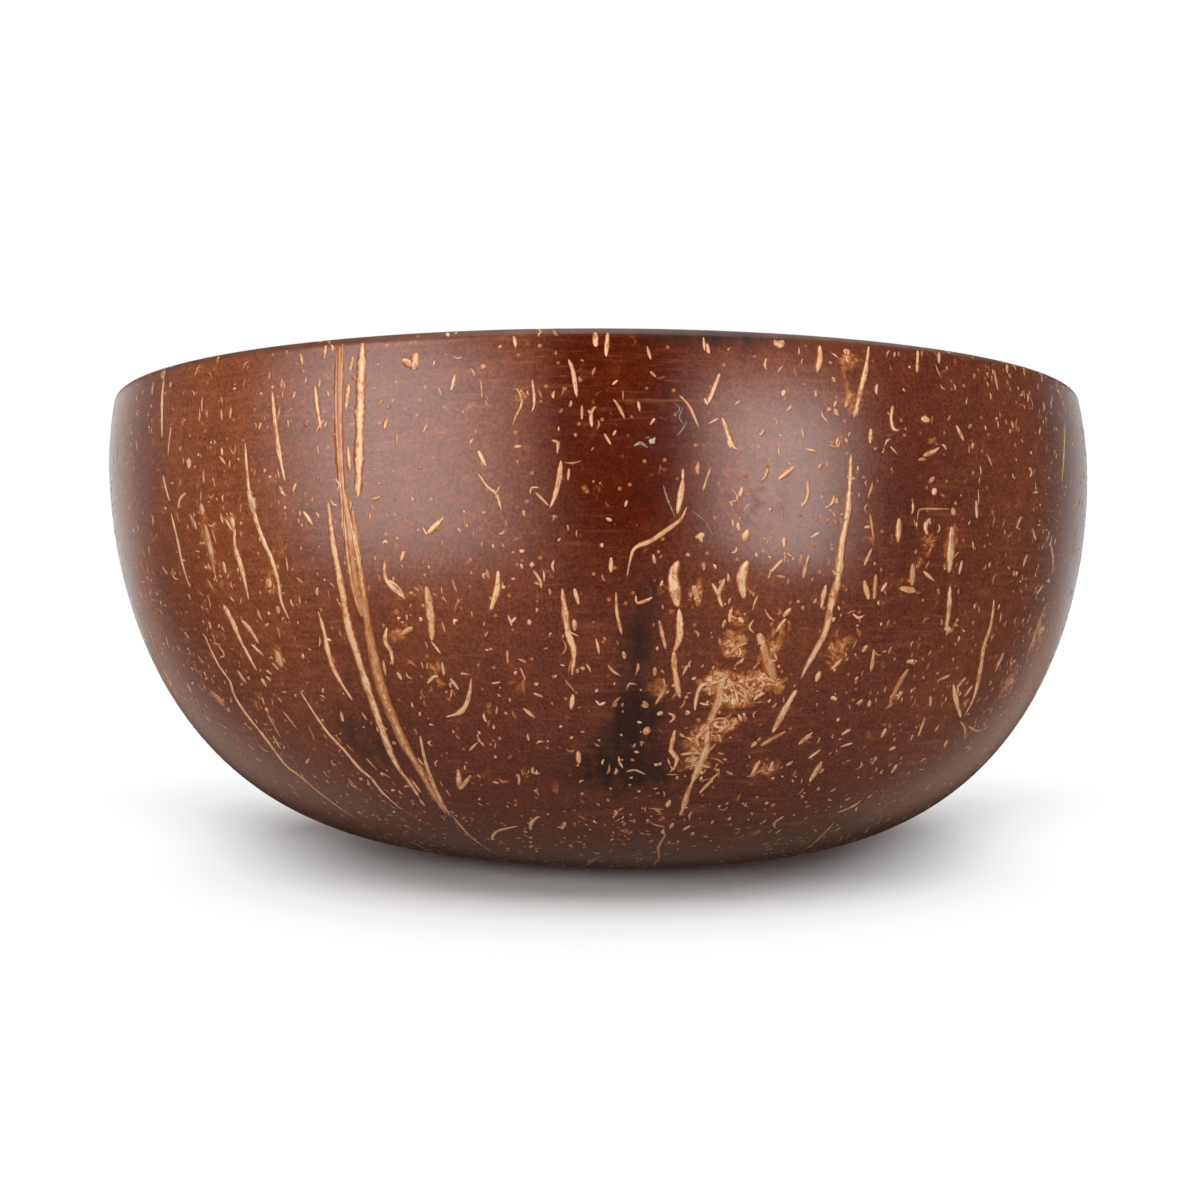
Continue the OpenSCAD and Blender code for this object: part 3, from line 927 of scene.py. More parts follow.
RIGHT_STRANDS = (
    Strand(9.5, ((748, 560), (742, 577), (743, 590), (745, 600))),
    Strand(4, ((725, 578), (719, 595), (723, 608)), 0.9),
    Strand(3, ((712, 583), (719, 596)), 0.8),
    Strand(7, ((693, 585), (699, 600)), 0.45),
    Strand(6, ((820, 345), (820, 359), (817, 373)), 0.9),
    Strand(9, ((773, 342), (785, 344)), 0.8),
    Strand(9, ((846, 356), (850, 362)), 0.8),
    Strand(5.5, ((869, 345), (866, 369), (861, 389), (854, 418))),
    Strand(6, ((852, 393), (845, 408)), 0.45),
    Strand(5, ((832, 377), (835, 382)), 0.9),
    Strand(4, ((785, 390), (782, 396))),
    Strand(4, ((816, 390), (816, 397)), 0.7),
    Strand(2.5, ((821, 410), (823, 417), (828, 422)), 0.8),
    Strand(4, ((722, 417), (727, 430), (732, 445), (738, 450))),
    Strand(2, ((708, 424), (719, 418)), 0.6),
    Strand(4, ((764, 429), (760, 436)), 0.9),
    Strand(3, ((801, 427), (804, 438)), 0.7),
    Strand(3, ((805, 449), (817, 451)), 0.8),
    Strand(5, ((795, 466), (778, 480))),
    Strand(3, ((768, 467), (765, 477), (760, 481)), 0.7),
    Strand(3, ((711, 466), (703, 491)), 0.6),
    Strand(4, ((742, 487), (740, 497)), 0.8),
    Strand(3.5, ((807, 481), (808, 495), (802, 507)), 0.8),
    Strand(3, ((834, 495), (832, 504), (825, 508)), 0.7),
    Strand(7.5, ((851, 453), (850, 483), (848, 513), (842, 544), (838, 579), (831, 606), (826, 631),
                 (815, 652), (805, 670), (800, 681)), taper=0.4),
    Strand(7, ((797, 689), (787, 706), (772, 734))),
    Strand(4, ((871, 428), (870, 444))),
    Strand(4, ((893, 405), (891, 420), (895, 431), (901, 429))),
    Strand(6, ((921, 419), (930, 420)), 0.9),
    Strand(3.5, ((923, 456), (935, 451), (940, 447))),
    Strand(4, ((956, 425), (964, 441))),
    Strand(4, ((918, 350), (917, 373))),
    Strand(4, ((939, 352), (939, 364))),
    Strand(6, ((936, 488), (933, 495)), 0.9),
    Strand(2, ((918, 522), (919, 510), (935, 509), (950, 509)), 0.35),
    Strand(7, ((952, 508), (955, 515)), 0.6),
    Strand(6.5, ((899, 518), (898, 543)), 0.85),
    Strand(5, ((931, 518), (925, 526), (928, 535))),
    Strand(4, ((976, 500), (977, 519))),
    Strand(9, ((952, 526), (951, 546), (949, 574)), 0.85),
    Strand(4, ((962, 560), (959, 575)), 0.9),
    Strand(6, ((913, 563), (912, 586)), 0.5),
    Strand(6, ((900, 588), (916, 591)), 0.8),
    Strand(5, ((864, 580), (869, 600)), 0.85),
    Strand(5, ((876, 574), (874, 600)), 0.45),
    Strand(3.5, ((887, 582), (881, 592)), 0.8),
    Strand(3, ((872, 548), (864, 566)), 0.6),
    Strand(3, ((870, 513), (874, 541)), 0.4),
    Strand(3, ((923, 571), (934, 581)), 0.9),
    Strand(7, ((748, 529), (744, 541)), 0.9),
    Strand(4, ((738, 522), (739, 531)), 0.8),
    Strand(4.5, ((784, 537), (784, 548)), 0.9),
    Strand(3, ((820, 532), (810, 538)), 0.9),
    Strand(4.5, ((695, 538), (705, 534)), 0.8),
    Strand(4, ((700, 535), (702, 543)), 0.8),
    Strand(4, ((783, 559), (770, 573)), 0.9),
    Strand(3.5, ((809, 554), (803, 579)), 0.6),
    Strand(4.5, ((826, 584), (821, 609)), 0.85),
    Strand(5, ((738, 618), (744, 622)), 0.9),
    Strand(4, ((783, 617), (791, 608)), 0.9),
    Strand(4, ((776, 632), (786, 618)), 0.9),
    Strand(4.5, ((786, 731), (760, 746)), 0.5),
    Strand(4, ((813, 732), (798, 745)), 0.9),
    Strand(3.5, ((821, 749), (808, 759)), 0.8),
    Strand(5, ((822, 761), (809, 783)), 0.9),
    Strand(4, ((760, 760), (750, 778)), 0.8),
    Strand(5, ((773, 761), (769, 772)), 0.7),
    Strand(4, ((793, 761), (786, 766)), 0.9),
    Strand(4, ((851, 729), (841, 735)), 0.9),
    Strand(3, ((853, 743), (840, 747)), 0.6),
    Strand(4.5, ((831, 697), (837, 700)), 0.9),
    Strand(5, ((820, 671), (816, 682)), 0.8),
    Strand(4, ((842, 659), (831, 670)), 0.7),
    Strand(4, ((874, 649), (871, 672)), 0.7),
    Strand(4, ((868, 645), (862, 652)), 0.8),
    Strand(6, ((906, 662), (914, 661)), 0.9),
    Strand(5, ((909, 668), (899, 684), (889, 705)), 0.3),
    Strand(7, ((950, 585), (949, 609), (946, 630)), 0.95),
    Strand(5, ((944, 628), (953, 631)), 0.8),
    Strand(6, ((994, 599), (991, 625), (984, 646), (980, 671), (974, 697), (964, 717))),
    Strand(5.5, ((953, 684), (956, 700), (961, 718))),
    Strand(3, ((937, 681), (950, 675)), 0.7),
    Strand(4, ((966, 677), (957, 688)), 0.8),
    Strand(4, ((973, 685), (964, 697)), 0.8),
    Strand(3, ((960, 721), (965, 729), (964, 740)), 0.5),
    Strand(3, ((968, 726), (976, 731), (983, 730)), 0.5),
    Strand(5, ((947, 740), (944, 748)), 0.6),
    Strand(4, ((925, 717), (918, 737)), 0.8),
    Strand(5, ((889, 750), (896, 747)), 0.9),
    Strand(5, ((886, 728), (881, 738)), 0.8),
    Strand(4.5, ((897, 764), (891, 774)), 0.8),
    Strand(3, ((837, 813), (854, 806), (861, 800)), 0.8),
    Strand(3, ((834, 823), (814, 843), (800, 852)), 0.7),
    Strand(3, ((784, 816), (773, 824), (777, 830)), 0.8),
    Strand(3, ((1065, 420), (1064, 449), (1062, 482))),
    Strand(3.5, ((1021, 516), (1016, 529)), 0.8),
    Strand(3, ((1032, 528), (1036, 541)), 0.7),
    Strand(3.5, ((1050, 542), (1053, 559), (1052, 575)), 0.9),
    Strand(4, ((1077, 526), (1072, 558)), 0.4),
    Strand(3.5, ((1027, 554), (1023, 567)), 0.7),
    Strand(3, ((1043, 585), (1036, 595)), 0.8),
    Strand(7, ((1047, 602), (1038, 626), (1027, 656)), 0.3),
    Strand(5, ((1004, 652), (995, 672)), 0.8),
    Strand(3, ((994, 370), (998, 391)), 0.5),
    Strand(4, ((1007, 364), (1007, 373)), 0.8),
    Strand(3, ((1028, 393), (1028, 402)), 0.8),
    Strand(3, ((1051, 398), (1051, 409)), 0.7),
)

LEFT_SLIVERS = (
    Strand(4.5, ((187, 683), (192, 693)), 0.9),
    Strand(3.4, ((166, 637), (169, 648)), 0.5),
    Strand(3.4, ((267, 713), (281, 738)), 0.35),
    Strand(3.9, ((273, 735), (281, 750)), 0.9),
    Strand(2.8, ((283, 711), (297, 729)), 0.35),
    Strand(4.5, ((237, 670), (247, 684)), 0.5),
    Strand(7.8, ((210, 690), (225, 706)), 0.3),
    Strand(3.9, ((303, 511), (313, 525))),
    Strand(3.9, ((296, 483), (293, 492)), 0.9),
    Strand(3.4, ((387, 417), (384, 430)), 0.8),
    Strand(2.8, ((397, 434), (397, 446)), 0.7),
    Strand(4.5, ((404, 551), (401, 561)), 0.9),
    Strand(4.5, ((261, 422), (259, 430)), 0.8),
    Strand(3.9, ((282, 379), (281, 388)), 0.7),
    Strand(4.5, ((295, 391), (293, 398)), 0.8),
    Strand(3.4, ((231, 407), (230, 419)), 0.5),
    Strand(3.4, ((221, 409), (222, 421)), 0.5),
)

STRANDS = (*LEFT_STRANDS, *MIDDLE_STRANDS, *RIGHT_STRANDS, *LEFT_SLIVERS)

# Partly painted reflection: thin real scratches whose pale bluish grey paints the softboxes' glint in them,
# and a small pale chip.
GLINTING_SCRATCHES_AND_CHIPS = (
    Strand(1.8, ((663, 484), (667, 498), (676, 519)), 0.4),
    Strand(1.6, ((692, 510), (706, 523), (714, 538)), 0.35),
    Strand(3, ((634, 446), (641, 443), (648, 448)), 0.9),
    Strand(6, ((649, 440), (655, 443))),
    Strand(3, ((655, 437), (652, 444))),
    Strand(1.6, ((674, 403), (680, 408), (676, 415)), 0.3),
    Strand(1.6, ((684, 406), (679, 417), (684, 424)), 0.25),
    Strand(1.6, ((688, 419), (682, 430), (676, 437)), 0.25),
)


class Wall:
    """The shell's wall, spun from its outline and then grown into the nut's uneven form."""

    NAME = "polished_wall"
    AROUND = 360
    FLAT_RINGS = 6
    FLANK_RINGS = 100
    COLLAR_RINGS = 12
    LIP_RINGS = 6
    HOLLOW_RINGS = 56
    WELD = 0.001 * MM
    SHARP_ANGLE = math.radians(38)
    OVERRUN = 1 * MM
    PIT_SIDES = 64
    PORE_SIDES = 48

    def __init__(self, form: BowlForm) -> None:
        """Builds the mesh.

        Args:
            form: The bowl's sizes.
        """
        self.form = form
        self.object = self._spin()
        self._cut_eyes(range(form.carpels), form.eye_d, (form.eye_depth - self.OVERRUN) / 2,
                       form.eye_depth + self.OVERRUN, self.PIT_SIDES)
        pore_depth = form.floor_wall + 2 * self.OVERRUN
        self._cut_eyes((form.soft_eye,), form.pore_d, pore_depth / 2, pore_depth, self.PORE_SIDES)
        mesh = self.object.data
        mesh.shade_smooth()
        mesh.set_sharp_from_angle(angle=self.SHARP_ANGLE)

    def _outline(self) -> list[tuple[float, float]]:
        """Radius and height along the wall's section, from the base's middle to the hollow's."""
        form = self.form
        edge_angle = math.acos(form.belly_z / form.dome_depth)
        edge_share = (edge_angle / (math.pi / 2)) ** (2 / form.outer_fullness)
        flat = [(form.base_flat_d / 2 * step / self.FLAT_RINGS, 0.0) for step in range(self.FLAT_RINGS)]
        flank = [form.dome_point(form.belly_d / 2, form.dome_depth, form.outer_fullness,
                                 edge_share + (1 - edge_share) * step / self.FLANK_RINGS)
                 for step in range(self.FLANK_RINGS + 1)]
        heights = [form.belly_z + (form.lip_z - form.belly_z) * step / self.COLLAR_RINGS
                   for step in range(1, self.COLLAR_RINGS + 1)]
        outer_collar = [(form.collar_radius(form.belly_d / 2, form.rim_inset, z), z) for z in heights]
        inner_collar = [(form.collar_radius(form.hollow_r, form.hollow_inset, z), z)
                        for z in reversed(heights)]
        outer_lip = self._lip(outer_collar[-1][0], -1)
        inner_lip = self._lip(inner_collar[0][0], 1)
        hollow = [form.dome_point(form.hollow_r, form.hollow_depth, form.hollow_fullness,
                                  1 - step / self.HOLLOW_RINGS)
                  for step in range(self.HOLLOW_RINGS)]
        return [*flat, *flank, *outer_collar, *outer_lip, *reversed(inner_lip), *inner_collar, *hollow,
                (0.0, form.floor_wall)]

    def _lip(self, side_r: float, inward: int) -> list[tuple[float, float]]:
        """An eased edge, from the wall's side up to the rim's top."""
        round_r, lip_z = self.form.rim_round, self.form.lip_z
        angles = [math.pi / 2 * step / self.LIP_RINGS for step in range(1, self.LIP_RINGS + 1)]
        return [(side_r + inward * round_r * (1 - math.cos(angle)), lip_z + round_r * math.sin(angle))
                for angle in angles]

    def _spin(self) -> bpy.types.Object:
        """Spins the outline and moves each point to its natural place."""
        bm = bmesh.new()
        verts = [bm.verts.new((0.0, -radius, z)) for radius, z in self._outline()]
        edges = [bm.edges.new(pair) for pair in zip(verts[:-1], verts[1:])]
        bmesh.ops.spin(bm, geom=verts + edges, cent=(0, 0, 0), axis=(0, 0, 1), angle=2 * math.pi,
                       steps=self.AROUND, use_merge=True)
        bmesh.ops.remove_doubles(bm, verts=bm.verts, dist=self.WELD)
        for vert in bm.verts:
            radius, angle = math.hypot(vert.co.x, vert.co.y), math.atan2(vert.co.x, -vert.co.y)
            vert.co = self.form.place(radius, vert.co.z, angle)
        bmesh.ops.recalc_face_normals(bm, faces=bm.faces)
        return add_object(self.NAME, bm)

    def _cut_eyes(self, eyes: Iterable[int], diameter: float, middle_z: float, depth: float,
                  sides: int) -> None:
        """Cuts a round hole at each of some eyes.

        Args:
            eyes: The eyes' numbers.
            diameter: Width of the holes.
            middle_z: Height of the cutters' middles.
            depth: Depth of the cutters.
            sides: Sides of the cutters.
        """
        bm = bmesh.new()
        for number in eyes:
            place = self.form.eye_place(number) + Vector((0, 0, middle_z))
            bmesh.ops.create_cone(bm, cap_ends=True, segments=sides, radius1=diameter / 2,
                                  radius2=diameter / 2, depth=depth, matrix=Matrix.Translation(place))
        cutter = add_object("eye_cutter", bm)
        modifier = self.object.modifiers.new("cut", "BOOLEAN")
        modifier.operation = "DIFFERENCE"
        modifier.solver = "EXACT"
        modifier.object = cutter
        bake_modifiers(self.object)
        bpy.data.objects.remove(cutter)

    def tree(self) -> BVHTree:
        """Search tree of the finished wall."""
        bm = bmesh.new()
        bm.from_mesh(self.object.data)
        found = BVHTree.FromBMesh(bm)
        bm.free()
        return found


def add_object(name: str, bm: bmesh.types.BMesh) -> bpy.types.Object:
    """Turns a bmesh into an object at the origin and frees it.

    Args:
        name: The object's name.
        bm: The finished bmesh.

    Returns:
        The new object.
    """
    mesh = bpy.data.meshes.new(name)
    bm.to_mesh(mesh)
    bm.free()
    made = bpy.data.objects.new(name, mesh)
    bpy.context.scene.collection.objects.link(made)
    return made


def bake_modifiers(piece: bpy.types.Object) -> None:
    """Writes the result of a piece's modifiers into its mesh."""
    graph = bpy.context.evaluated_depsgraph_get()
    finished = bpy.data.meshes.new_from_object(piece.evaluated_get(graph))
    old = piece.data
    piece.modifiers.clear()
    piece.data = finished
    bpy.data.meshes.remove(old)


@dataclass(frozen=True)
class Turn:
    """One repeat of the front's marks round the back, where the photograph shows nothing."""

    degrees: float
    mirror: bool
    reach: float
    seed: int

    def carry(self, place: Vector, tree: BVHTree) -> Vector:
        """Takes a point of the front to its repeat on the wall."""
        flip = Matrix.Scale(-1 if self.mirror else 1, 3, Vector((1, 0, 0)))
        return tree.find_nearest(Matrix.Rotation(math.radians(self.degrees), 3, "Z") @ flip @ place)[0]

    def takes(self, place: Vector) -> bool:
        """Whether a point lies in the part of the front that is repeated."""
        return abs(math.atan2(place.x, -place.y)) < math.radians(self.reach)


BACK_TURNS = (Turn(125.0, True, 60.0, 21), Turn(240.0, False, 55.0, 22))


@dataclass(frozen=True)
class Spot:
    """A patch as it lies on the wall, with its reach sideways and upward in metres."""

    middle: Vector
    wide: float
    high: float
    strength: float


class ToneMap:
    """Works out the soft masks that the shell's finish reads at each point of a mesh."""

    SOURCES = {"mottle": MOTTLES, "stain": STAINS, "scuff": SCUFFS, "warm_and_lit": LIT_AND_WARM_PATCHES, "deep_and_shaded": SHADED_GAP_PATCHES}
    REPEATED = ("mottle", "stain")
    FALL_OFF = 0.7

    WALL_BLEND = 0.5 * MM
    HOLLOW_START = 0.6
    RIM_START = 0.1
    RIM_BLEND = 0.5
    BASE_LEVEL = 0.02 * MM

    CLOUD_SCALE = 26
    BACK_START = -8 * MM
    BACK_BLEND = 30 * MM
    BACK_WARM = 0.55
    BACK_WARM_SWING = 0.6
    BACK_DEEP = -0.2
    BACK_DEEP_SWING = -1.6

    def __init__(self, form: BowlForm, tree: BVHTree, view: Viewpoint) -> None:
        """Places every patch of the photograph on the wall.

        Args:
            form: The bowl's sizes.
            tree: Search tree of the wall.
            view: The photograph's viewpoint.
        """
        self.form = form
        self.tree = tree
        self.view = view
        self.spots = {name: self._land(patches) for name, patches in self.SOURCES.items()}
        for name in self.REPEATED:
            front = list(self.spots[name])
            for turn in BACK_TURNS:
                self.spots[name] += [replace(spot, middle=turn.carry(spot.middle, tree))
                                     for spot in front if turn.takes(spot.middle)]

    def _land(self, patches: tuple[Patch, ...]) -> list[Spot]:
        """Finds each patch's place and reach on the wall."""
        landed = []
        for patch in patches:
            middle = self.on_wall((patch.x, patch.y))
            if middle is None:
                continue
            scale = self.view.metres_per_px(middle)
            landed.append(Spot(middle, patch.half_width * scale, patch.half_height * scale, patch.strength))
        return landed

    def on_wall(self, pixel: Pixel) -> Vector | None:
        """Point of the wall that a pixel of the photograph shows."""
        return self.tree.ray_cast(self.view.eye, self.view.ray(pixel))[0]

    def level(self, name: str, place: Vector) -> float:
        """Strength of one kind of patch at a point."""
        total = 0.0
        for spot in self.spots[name]:
            sideways = (place.xy - spot.middle.xy).length_squared / spot.wide ** 2
            far = sideways + (place.z - spot.middle.z) ** 2 / spot.high ** 2
            total += spot.strength * math.exp(-self.FALL_OFF * far)
        return total

    def dress(self, mesh: bpy.types.Mesh) -> None:
        """Writes the masks into a mesh as attributes."""
        points = np.empty(len(mesh.vertices) * 3)
        mesh.vertices.foreach_get("co", points)
        points = points.reshape(-1, 3)
        for name, value in {**self._faces(points), **self._soft(points)}.items():
            layer = mesh.attributes.new(name, "FLOAT", "POINT")
            layer.data.foreach_set("value", value.astype(np.float32))

    def _soft(self, points: np.ndarray) -> dict[str, np.ndarray]:
        """Patch masks: each patch fades out over its own reach, in the picture's two directions."""
        masks = {}
        for name, spots in self.spots.items():
            masks[name] = np.zeros(len(points))
            for spot in spots:
                away = points - np.array(spot.middle)
                sideways = (away[:, 0] ** 2 + away[:, 1] ** 2) / spot.wide ** 2
                far = sideways + away[:, 2] ** 2 / spot.high ** 2
                masks[name] += spot.strength * np.exp(-self.FALL_OFF * far)
        self._cloud_back(points, masks)
        return masks

    def _cloud_back(self, points: np.ndarray, masks: dict[str, np.ndarray]) -> None:
        """Adds broad clouds of warmer and darker tone to the masks round the back, where no patch was read.
        """
        clouds = np.array([chance.noise(Vector(point) * self.CLOUD_SCALE) for point in points])
        back = np.clip((points[:, 1] - self.BACK_START) / self.BACK_BLEND, 0, 1)
        warm_and_lit = self.BACK_WARM + self.BACK_WARM_SWING * clouds
        deep_and_shaded = np.clip(self.BACK_DEEP_SWING * clouds + self.BACK_DEEP, 0, 1)
        masks["warm_and_lit"] = np.clip(masks["warm_and_lit"] + back * warm_and_lit, 0, 1)
        masks["deep_and_shaded"] = np.clip(masks["deep_and_shaded"] + back * deep_and_shaded, 0, 1)

    def _faces(self, points: np.ndarray) -> dict[str, np.ndarray]:
        """Masks of the hollow and of the cut faces."""
        form = self.form
        z = points[:, 2]
        sideways = points[:, 0] + form.rim_drift * np.clip(z / form.height, 0, 1)
        angle = np.arctan2(sideways, -points[:, 1])
        swell = form.ridge_share * np.clip(1 - z / form.height, 0, None)
        ridge = 1 + swell * np.cos(form.carpels * (angle - form.first_ridge))
        radius = np.hypot(sideways, points[:, 1]) / ridge
        wall_middle = (form.outer_radius(z) + form.inner_radius(z)) / 2
        inward = np.clip((wall_middle - radius) / self.WALL_BLEND + 0.5, 0, 1)
        above_floor = z > form.floor_wall * self.HOLLOW_START
        rim = (z - form.lip_z - self.RIM_START * form.rim_round) / (self.RIM_BLEND * form.rim_round)
        base = (z < self.BASE_LEVEL) & (radius < form.base_flat_d / 2)
        return {"inside": inward * above_floor, "cut": np.maximum(np.clip(rim, 0, 1), base.astype(float))}


@dataclass
class FibreRun:
    """One fibre as it lies in the surface: its route in space, half width, brightness and taper."""

    route: list[Vector]
    half_width: float
    tone: float
    taper: float

    @property
    def length(self) -> float:
        """Length along the route."""
        return sum((there - here).length for here, there in zip(self.route, self.route[1:]))


class FibreBed:
    """Lays fibres into a wall as thin lenses, half sunk, with their top just proud of the polish."""

    LAYERS = ("body", "tone", "across", "along")
    SIDES = 6
    RISE = 0.024 * MM
    WAVER = 0.4
    WAVER_SCALE = 700
    WAVER_SHIFT = Vector((0, 0, 7.3))
    FRAY = 0.15
    FRAY_SCALE = 2600
    TIP_REACH = 0.01
    TIP_BODY = 0.35

    def __init__(self, tree: BVHTree, tones: ToneMap) -> None:
        """Keeps what the fibres lie on.

        Args:
            tree: Search tree of the wall.
            tones: The masks that every fibre takes from its place.
        """
        self.tree = tree
        self.tones = tones

    def _at(self, run: FibreRun, share: float) -> tuple[Vector, Vector]:
        """Point and direction of a run at a share of its length."""
        spot = share * (len(run.route) - 1)
        step = min(int(spot), len(run.route) - 2)
        here, there = run.route[step], run.route[step + 1]
        return here.lerp(there, spot - step), (there - here).normalized()

    def _lens_point(self, run: FibreRun, share: float, turn: float) -> Vector:
        """Point of the lens, where turn goes round it from one edge over its top."""
        middle, ahead = self._at(run, share)
        _, normal, _, _ = self.tree.find_nearest(middle)
        tapered = max(0.0, math.sin(math.pi * share)) ** run.taper
        waver = self.WAVER * chance.noise(middle * self.WAVER_SCALE + self.WAVER_SHIFT)
        uneven = 1 + waver + self.FRAY * chance.noise(middle * self.FRAY_SCALE)
        aside = ahead.cross(normal).normalized() * (math.cos(turn) * run.half_width * tapered * uneven)
        seat, normal, _, _ = self.tree.find_nearest(middle + aside)
        return seat + normal * (self.RISE * math.sin(turn) * tapered ** 0.5)

    def _multiply(self, bm: bmesh.types.BMesh, count: int) -> bmesh.types.BMLayerItem:
        """Doubles the one lens until there are enough, and numbers them all in the layer that it returns."""
        number = bm.verts.layers.int.new("number")
        made = 1
        while made < count:
            copied = bmesh.ops.duplicate(bm, geom=bm.verts[:] + bm.edges[:] + bm.faces[:])["geom"]
            for vert in (part for part in copied if isinstance(part, bmesh.types.BMVert)):
                vert[number] += made
            made *= 2
        surplus = [vert for vert in bm.verts if vert[number] >= count]
        bmesh.ops.delete(bm, geom=surplus, context="VERTS")
        return number

    def lay(self, name: str, runs: list[FibreRun], rings: int) -> bpy.types.Object:
        """Makes one piece of many fibres.

        Args:
            name: The piece's name.
            runs: The fibres.
            rings: Steps along each lens.

        Returns:
            The new piece.
        """
        bm = bmesh.new()
        bmesh.ops.create_uvsphere(bm, u_segments=self.SIDES, v_segments=rings, radius=1.0)
        number = self._multiply(bm, len(runs))
        body, tone, across, along = (bm.verts.layers.float.new(layer) for layer in self.LAYERS)
        for vert in bm.verts:
            run = runs[vert[number]]
            share = math.acos(max(-1.0, min(1.0, vert.co.z))) / math.pi
            tip = math.hypot(vert.co.x, vert.co.y) < self.TIP_REACH
            turn = math.pi / 2 if tip else math.atan2(vert.co.y, vert.co.x)
            vert[body] = self.TIP_BODY if tip else 1.0
            vert[tone] = run.tone
            vert[across] = math.cos(turn)
            vert[along] = vert[number] + share * run.length
            vert.co = self._lens_point(run, share, turn)
        bmesh.ops.recalc_face_normals(bm, faces=bm.faces)
        piece = add_object(name, bm)
        piece.data.shade_smooth()
        self.tones.dress(piece.data)
        return piece


def curve_value(before: float, start: float, end: float, after: float, t: float) -> float:
    """Value on a Catmull-Rom curve at share t of the way from start to end."""
    slope = end - before
    bend = 2 * before - 5 * start + 4 * end - after
    swing = 3 * start - before - 3 * end + after
    return 0.5 * (2 * start + slope * t + bend * t ** 2 + swing * t ** 3)


def smooth_route(points: tuple[Pixel, ...], step: float) -> list[Pixel]:
    """Rounds a given route into a curve with points about one step apart.

    Args:
        points: Pixels along the route.
        step: Distance between the new points, in pixels.

    Returns:
        Pixels on a Catmull-Rom curve through the points.
    """
    padded = [points[0], *points, points[-1]]
    curve = []
    for corners in zip(padded, padded[1:], padded[2:], padded[3:]):
        pieces = max(1, round(math.dist(corners[1], corners[2]) / step))
        for number in range(pieces):
            curve.append(tuple(curve_value(*levels, number / pieces) for levels in zip(*corners)))
    return [*curve, points[-1]]


class Strands:
    """The strands, and the scratch marks with their painted glints, that the photograph shows, placed by its
    pixels.
    """

    STEP_PX = 5.0
    FRINGE = 1.5
    LONG = 6 * MM
    LONG_RINGS = 28
    SHORT_RINGS = 9
    LEFT_OUT = 0.15
    WIDTH_RANGE = (0.8, 1.2)

    def __init__(self, tones: ToneMap, bed: FibreBed) -> None:
        """Keeps the wall and the bed.

        Args:
            tones: Finds the wall behind a pixel.
            bed: Lays the fibres.
        """
        self.tones = tones
        self.bed = bed

    def run(self, strand: Strand) -> FibreRun | None:
        """Puts one strand of the photograph on the wall, or nothing where it misses the wall."""
        pixels = smooth_route(strand.route, self.STEP_PX)
        places = [place for place in map(self.tones.on_wall, pixels) if place is not None]
        if len(places) < 2:
            return None
        half_width = strand.width / 2 * self.tones.view.metres_per_px(places[0]) * self.FRINGE
        return FibreRun(places, half_width, strand.tone, strand.taper)

    def turned(self, runs: list[FibreRun], turn: Turn) -> list[FibreRun]:
        """Repeats most of the front's strands round the back, a little wider or thinner."""
        draw = random.Random(turn.seed)
        repeated = []
        for run in runs:
            if turn.takes(run.route[len(run.route) // 2]) and draw.random() > self.LEFT_OUT:
                route = [turn.carry(place, self.bed.tree) for place in run.route]
                half_width = run.half_width * draw.uniform(*self.WIDTH_RANGE)
                repeated.append(replace(run, route=route, half_width=half_width))
        return repeated

    def make(self, name: str, strands: tuple[Strand, ...], all_round: bool) -> list[bpy.types.Object]:
        """Makes all of them as one piece of long ones and one of short ones.

        Args:
            name: The last part of the pieces' names.
            strands: The strands as the photograph shows them.
            all_round: Whether the back repeats them.

        Returns:
            The new pieces.
        """
        runs = [run for run in map(self.run, strands) if run is not None]
        if all_round:
            front = list(runs)
            for turn in BACK_TURNS:
                runs += self.turned(front, turn)
        grades = (("long", [run for run in runs if run.length > self.LONG], self.LONG_RINGS),
                  ("short", [run for run in runs if run.length <= self.LONG], self.SHORT_RINGS))
        return [self.bed.lay(f"{grade}_{name}", chosen, rings) for grade, chosen, rings in grades if chosen]


class Face(Enum):
    """A face of the wall that flecks lie in."""

    OUTSIDE = "outside"
    HOLLOW = "hollow"
    RIM = "rim"
    BASE = "base"
    CLUMP = "clump"


@dataclass(frozen=True)
class FleckSpread:
    """How one face's flecks are strewn. The share of them that runs up the nut is along."""

    face: Face
    count: int
    long_mm: float
    wide_mm: float
    along: float
    tone: float
    seed: int


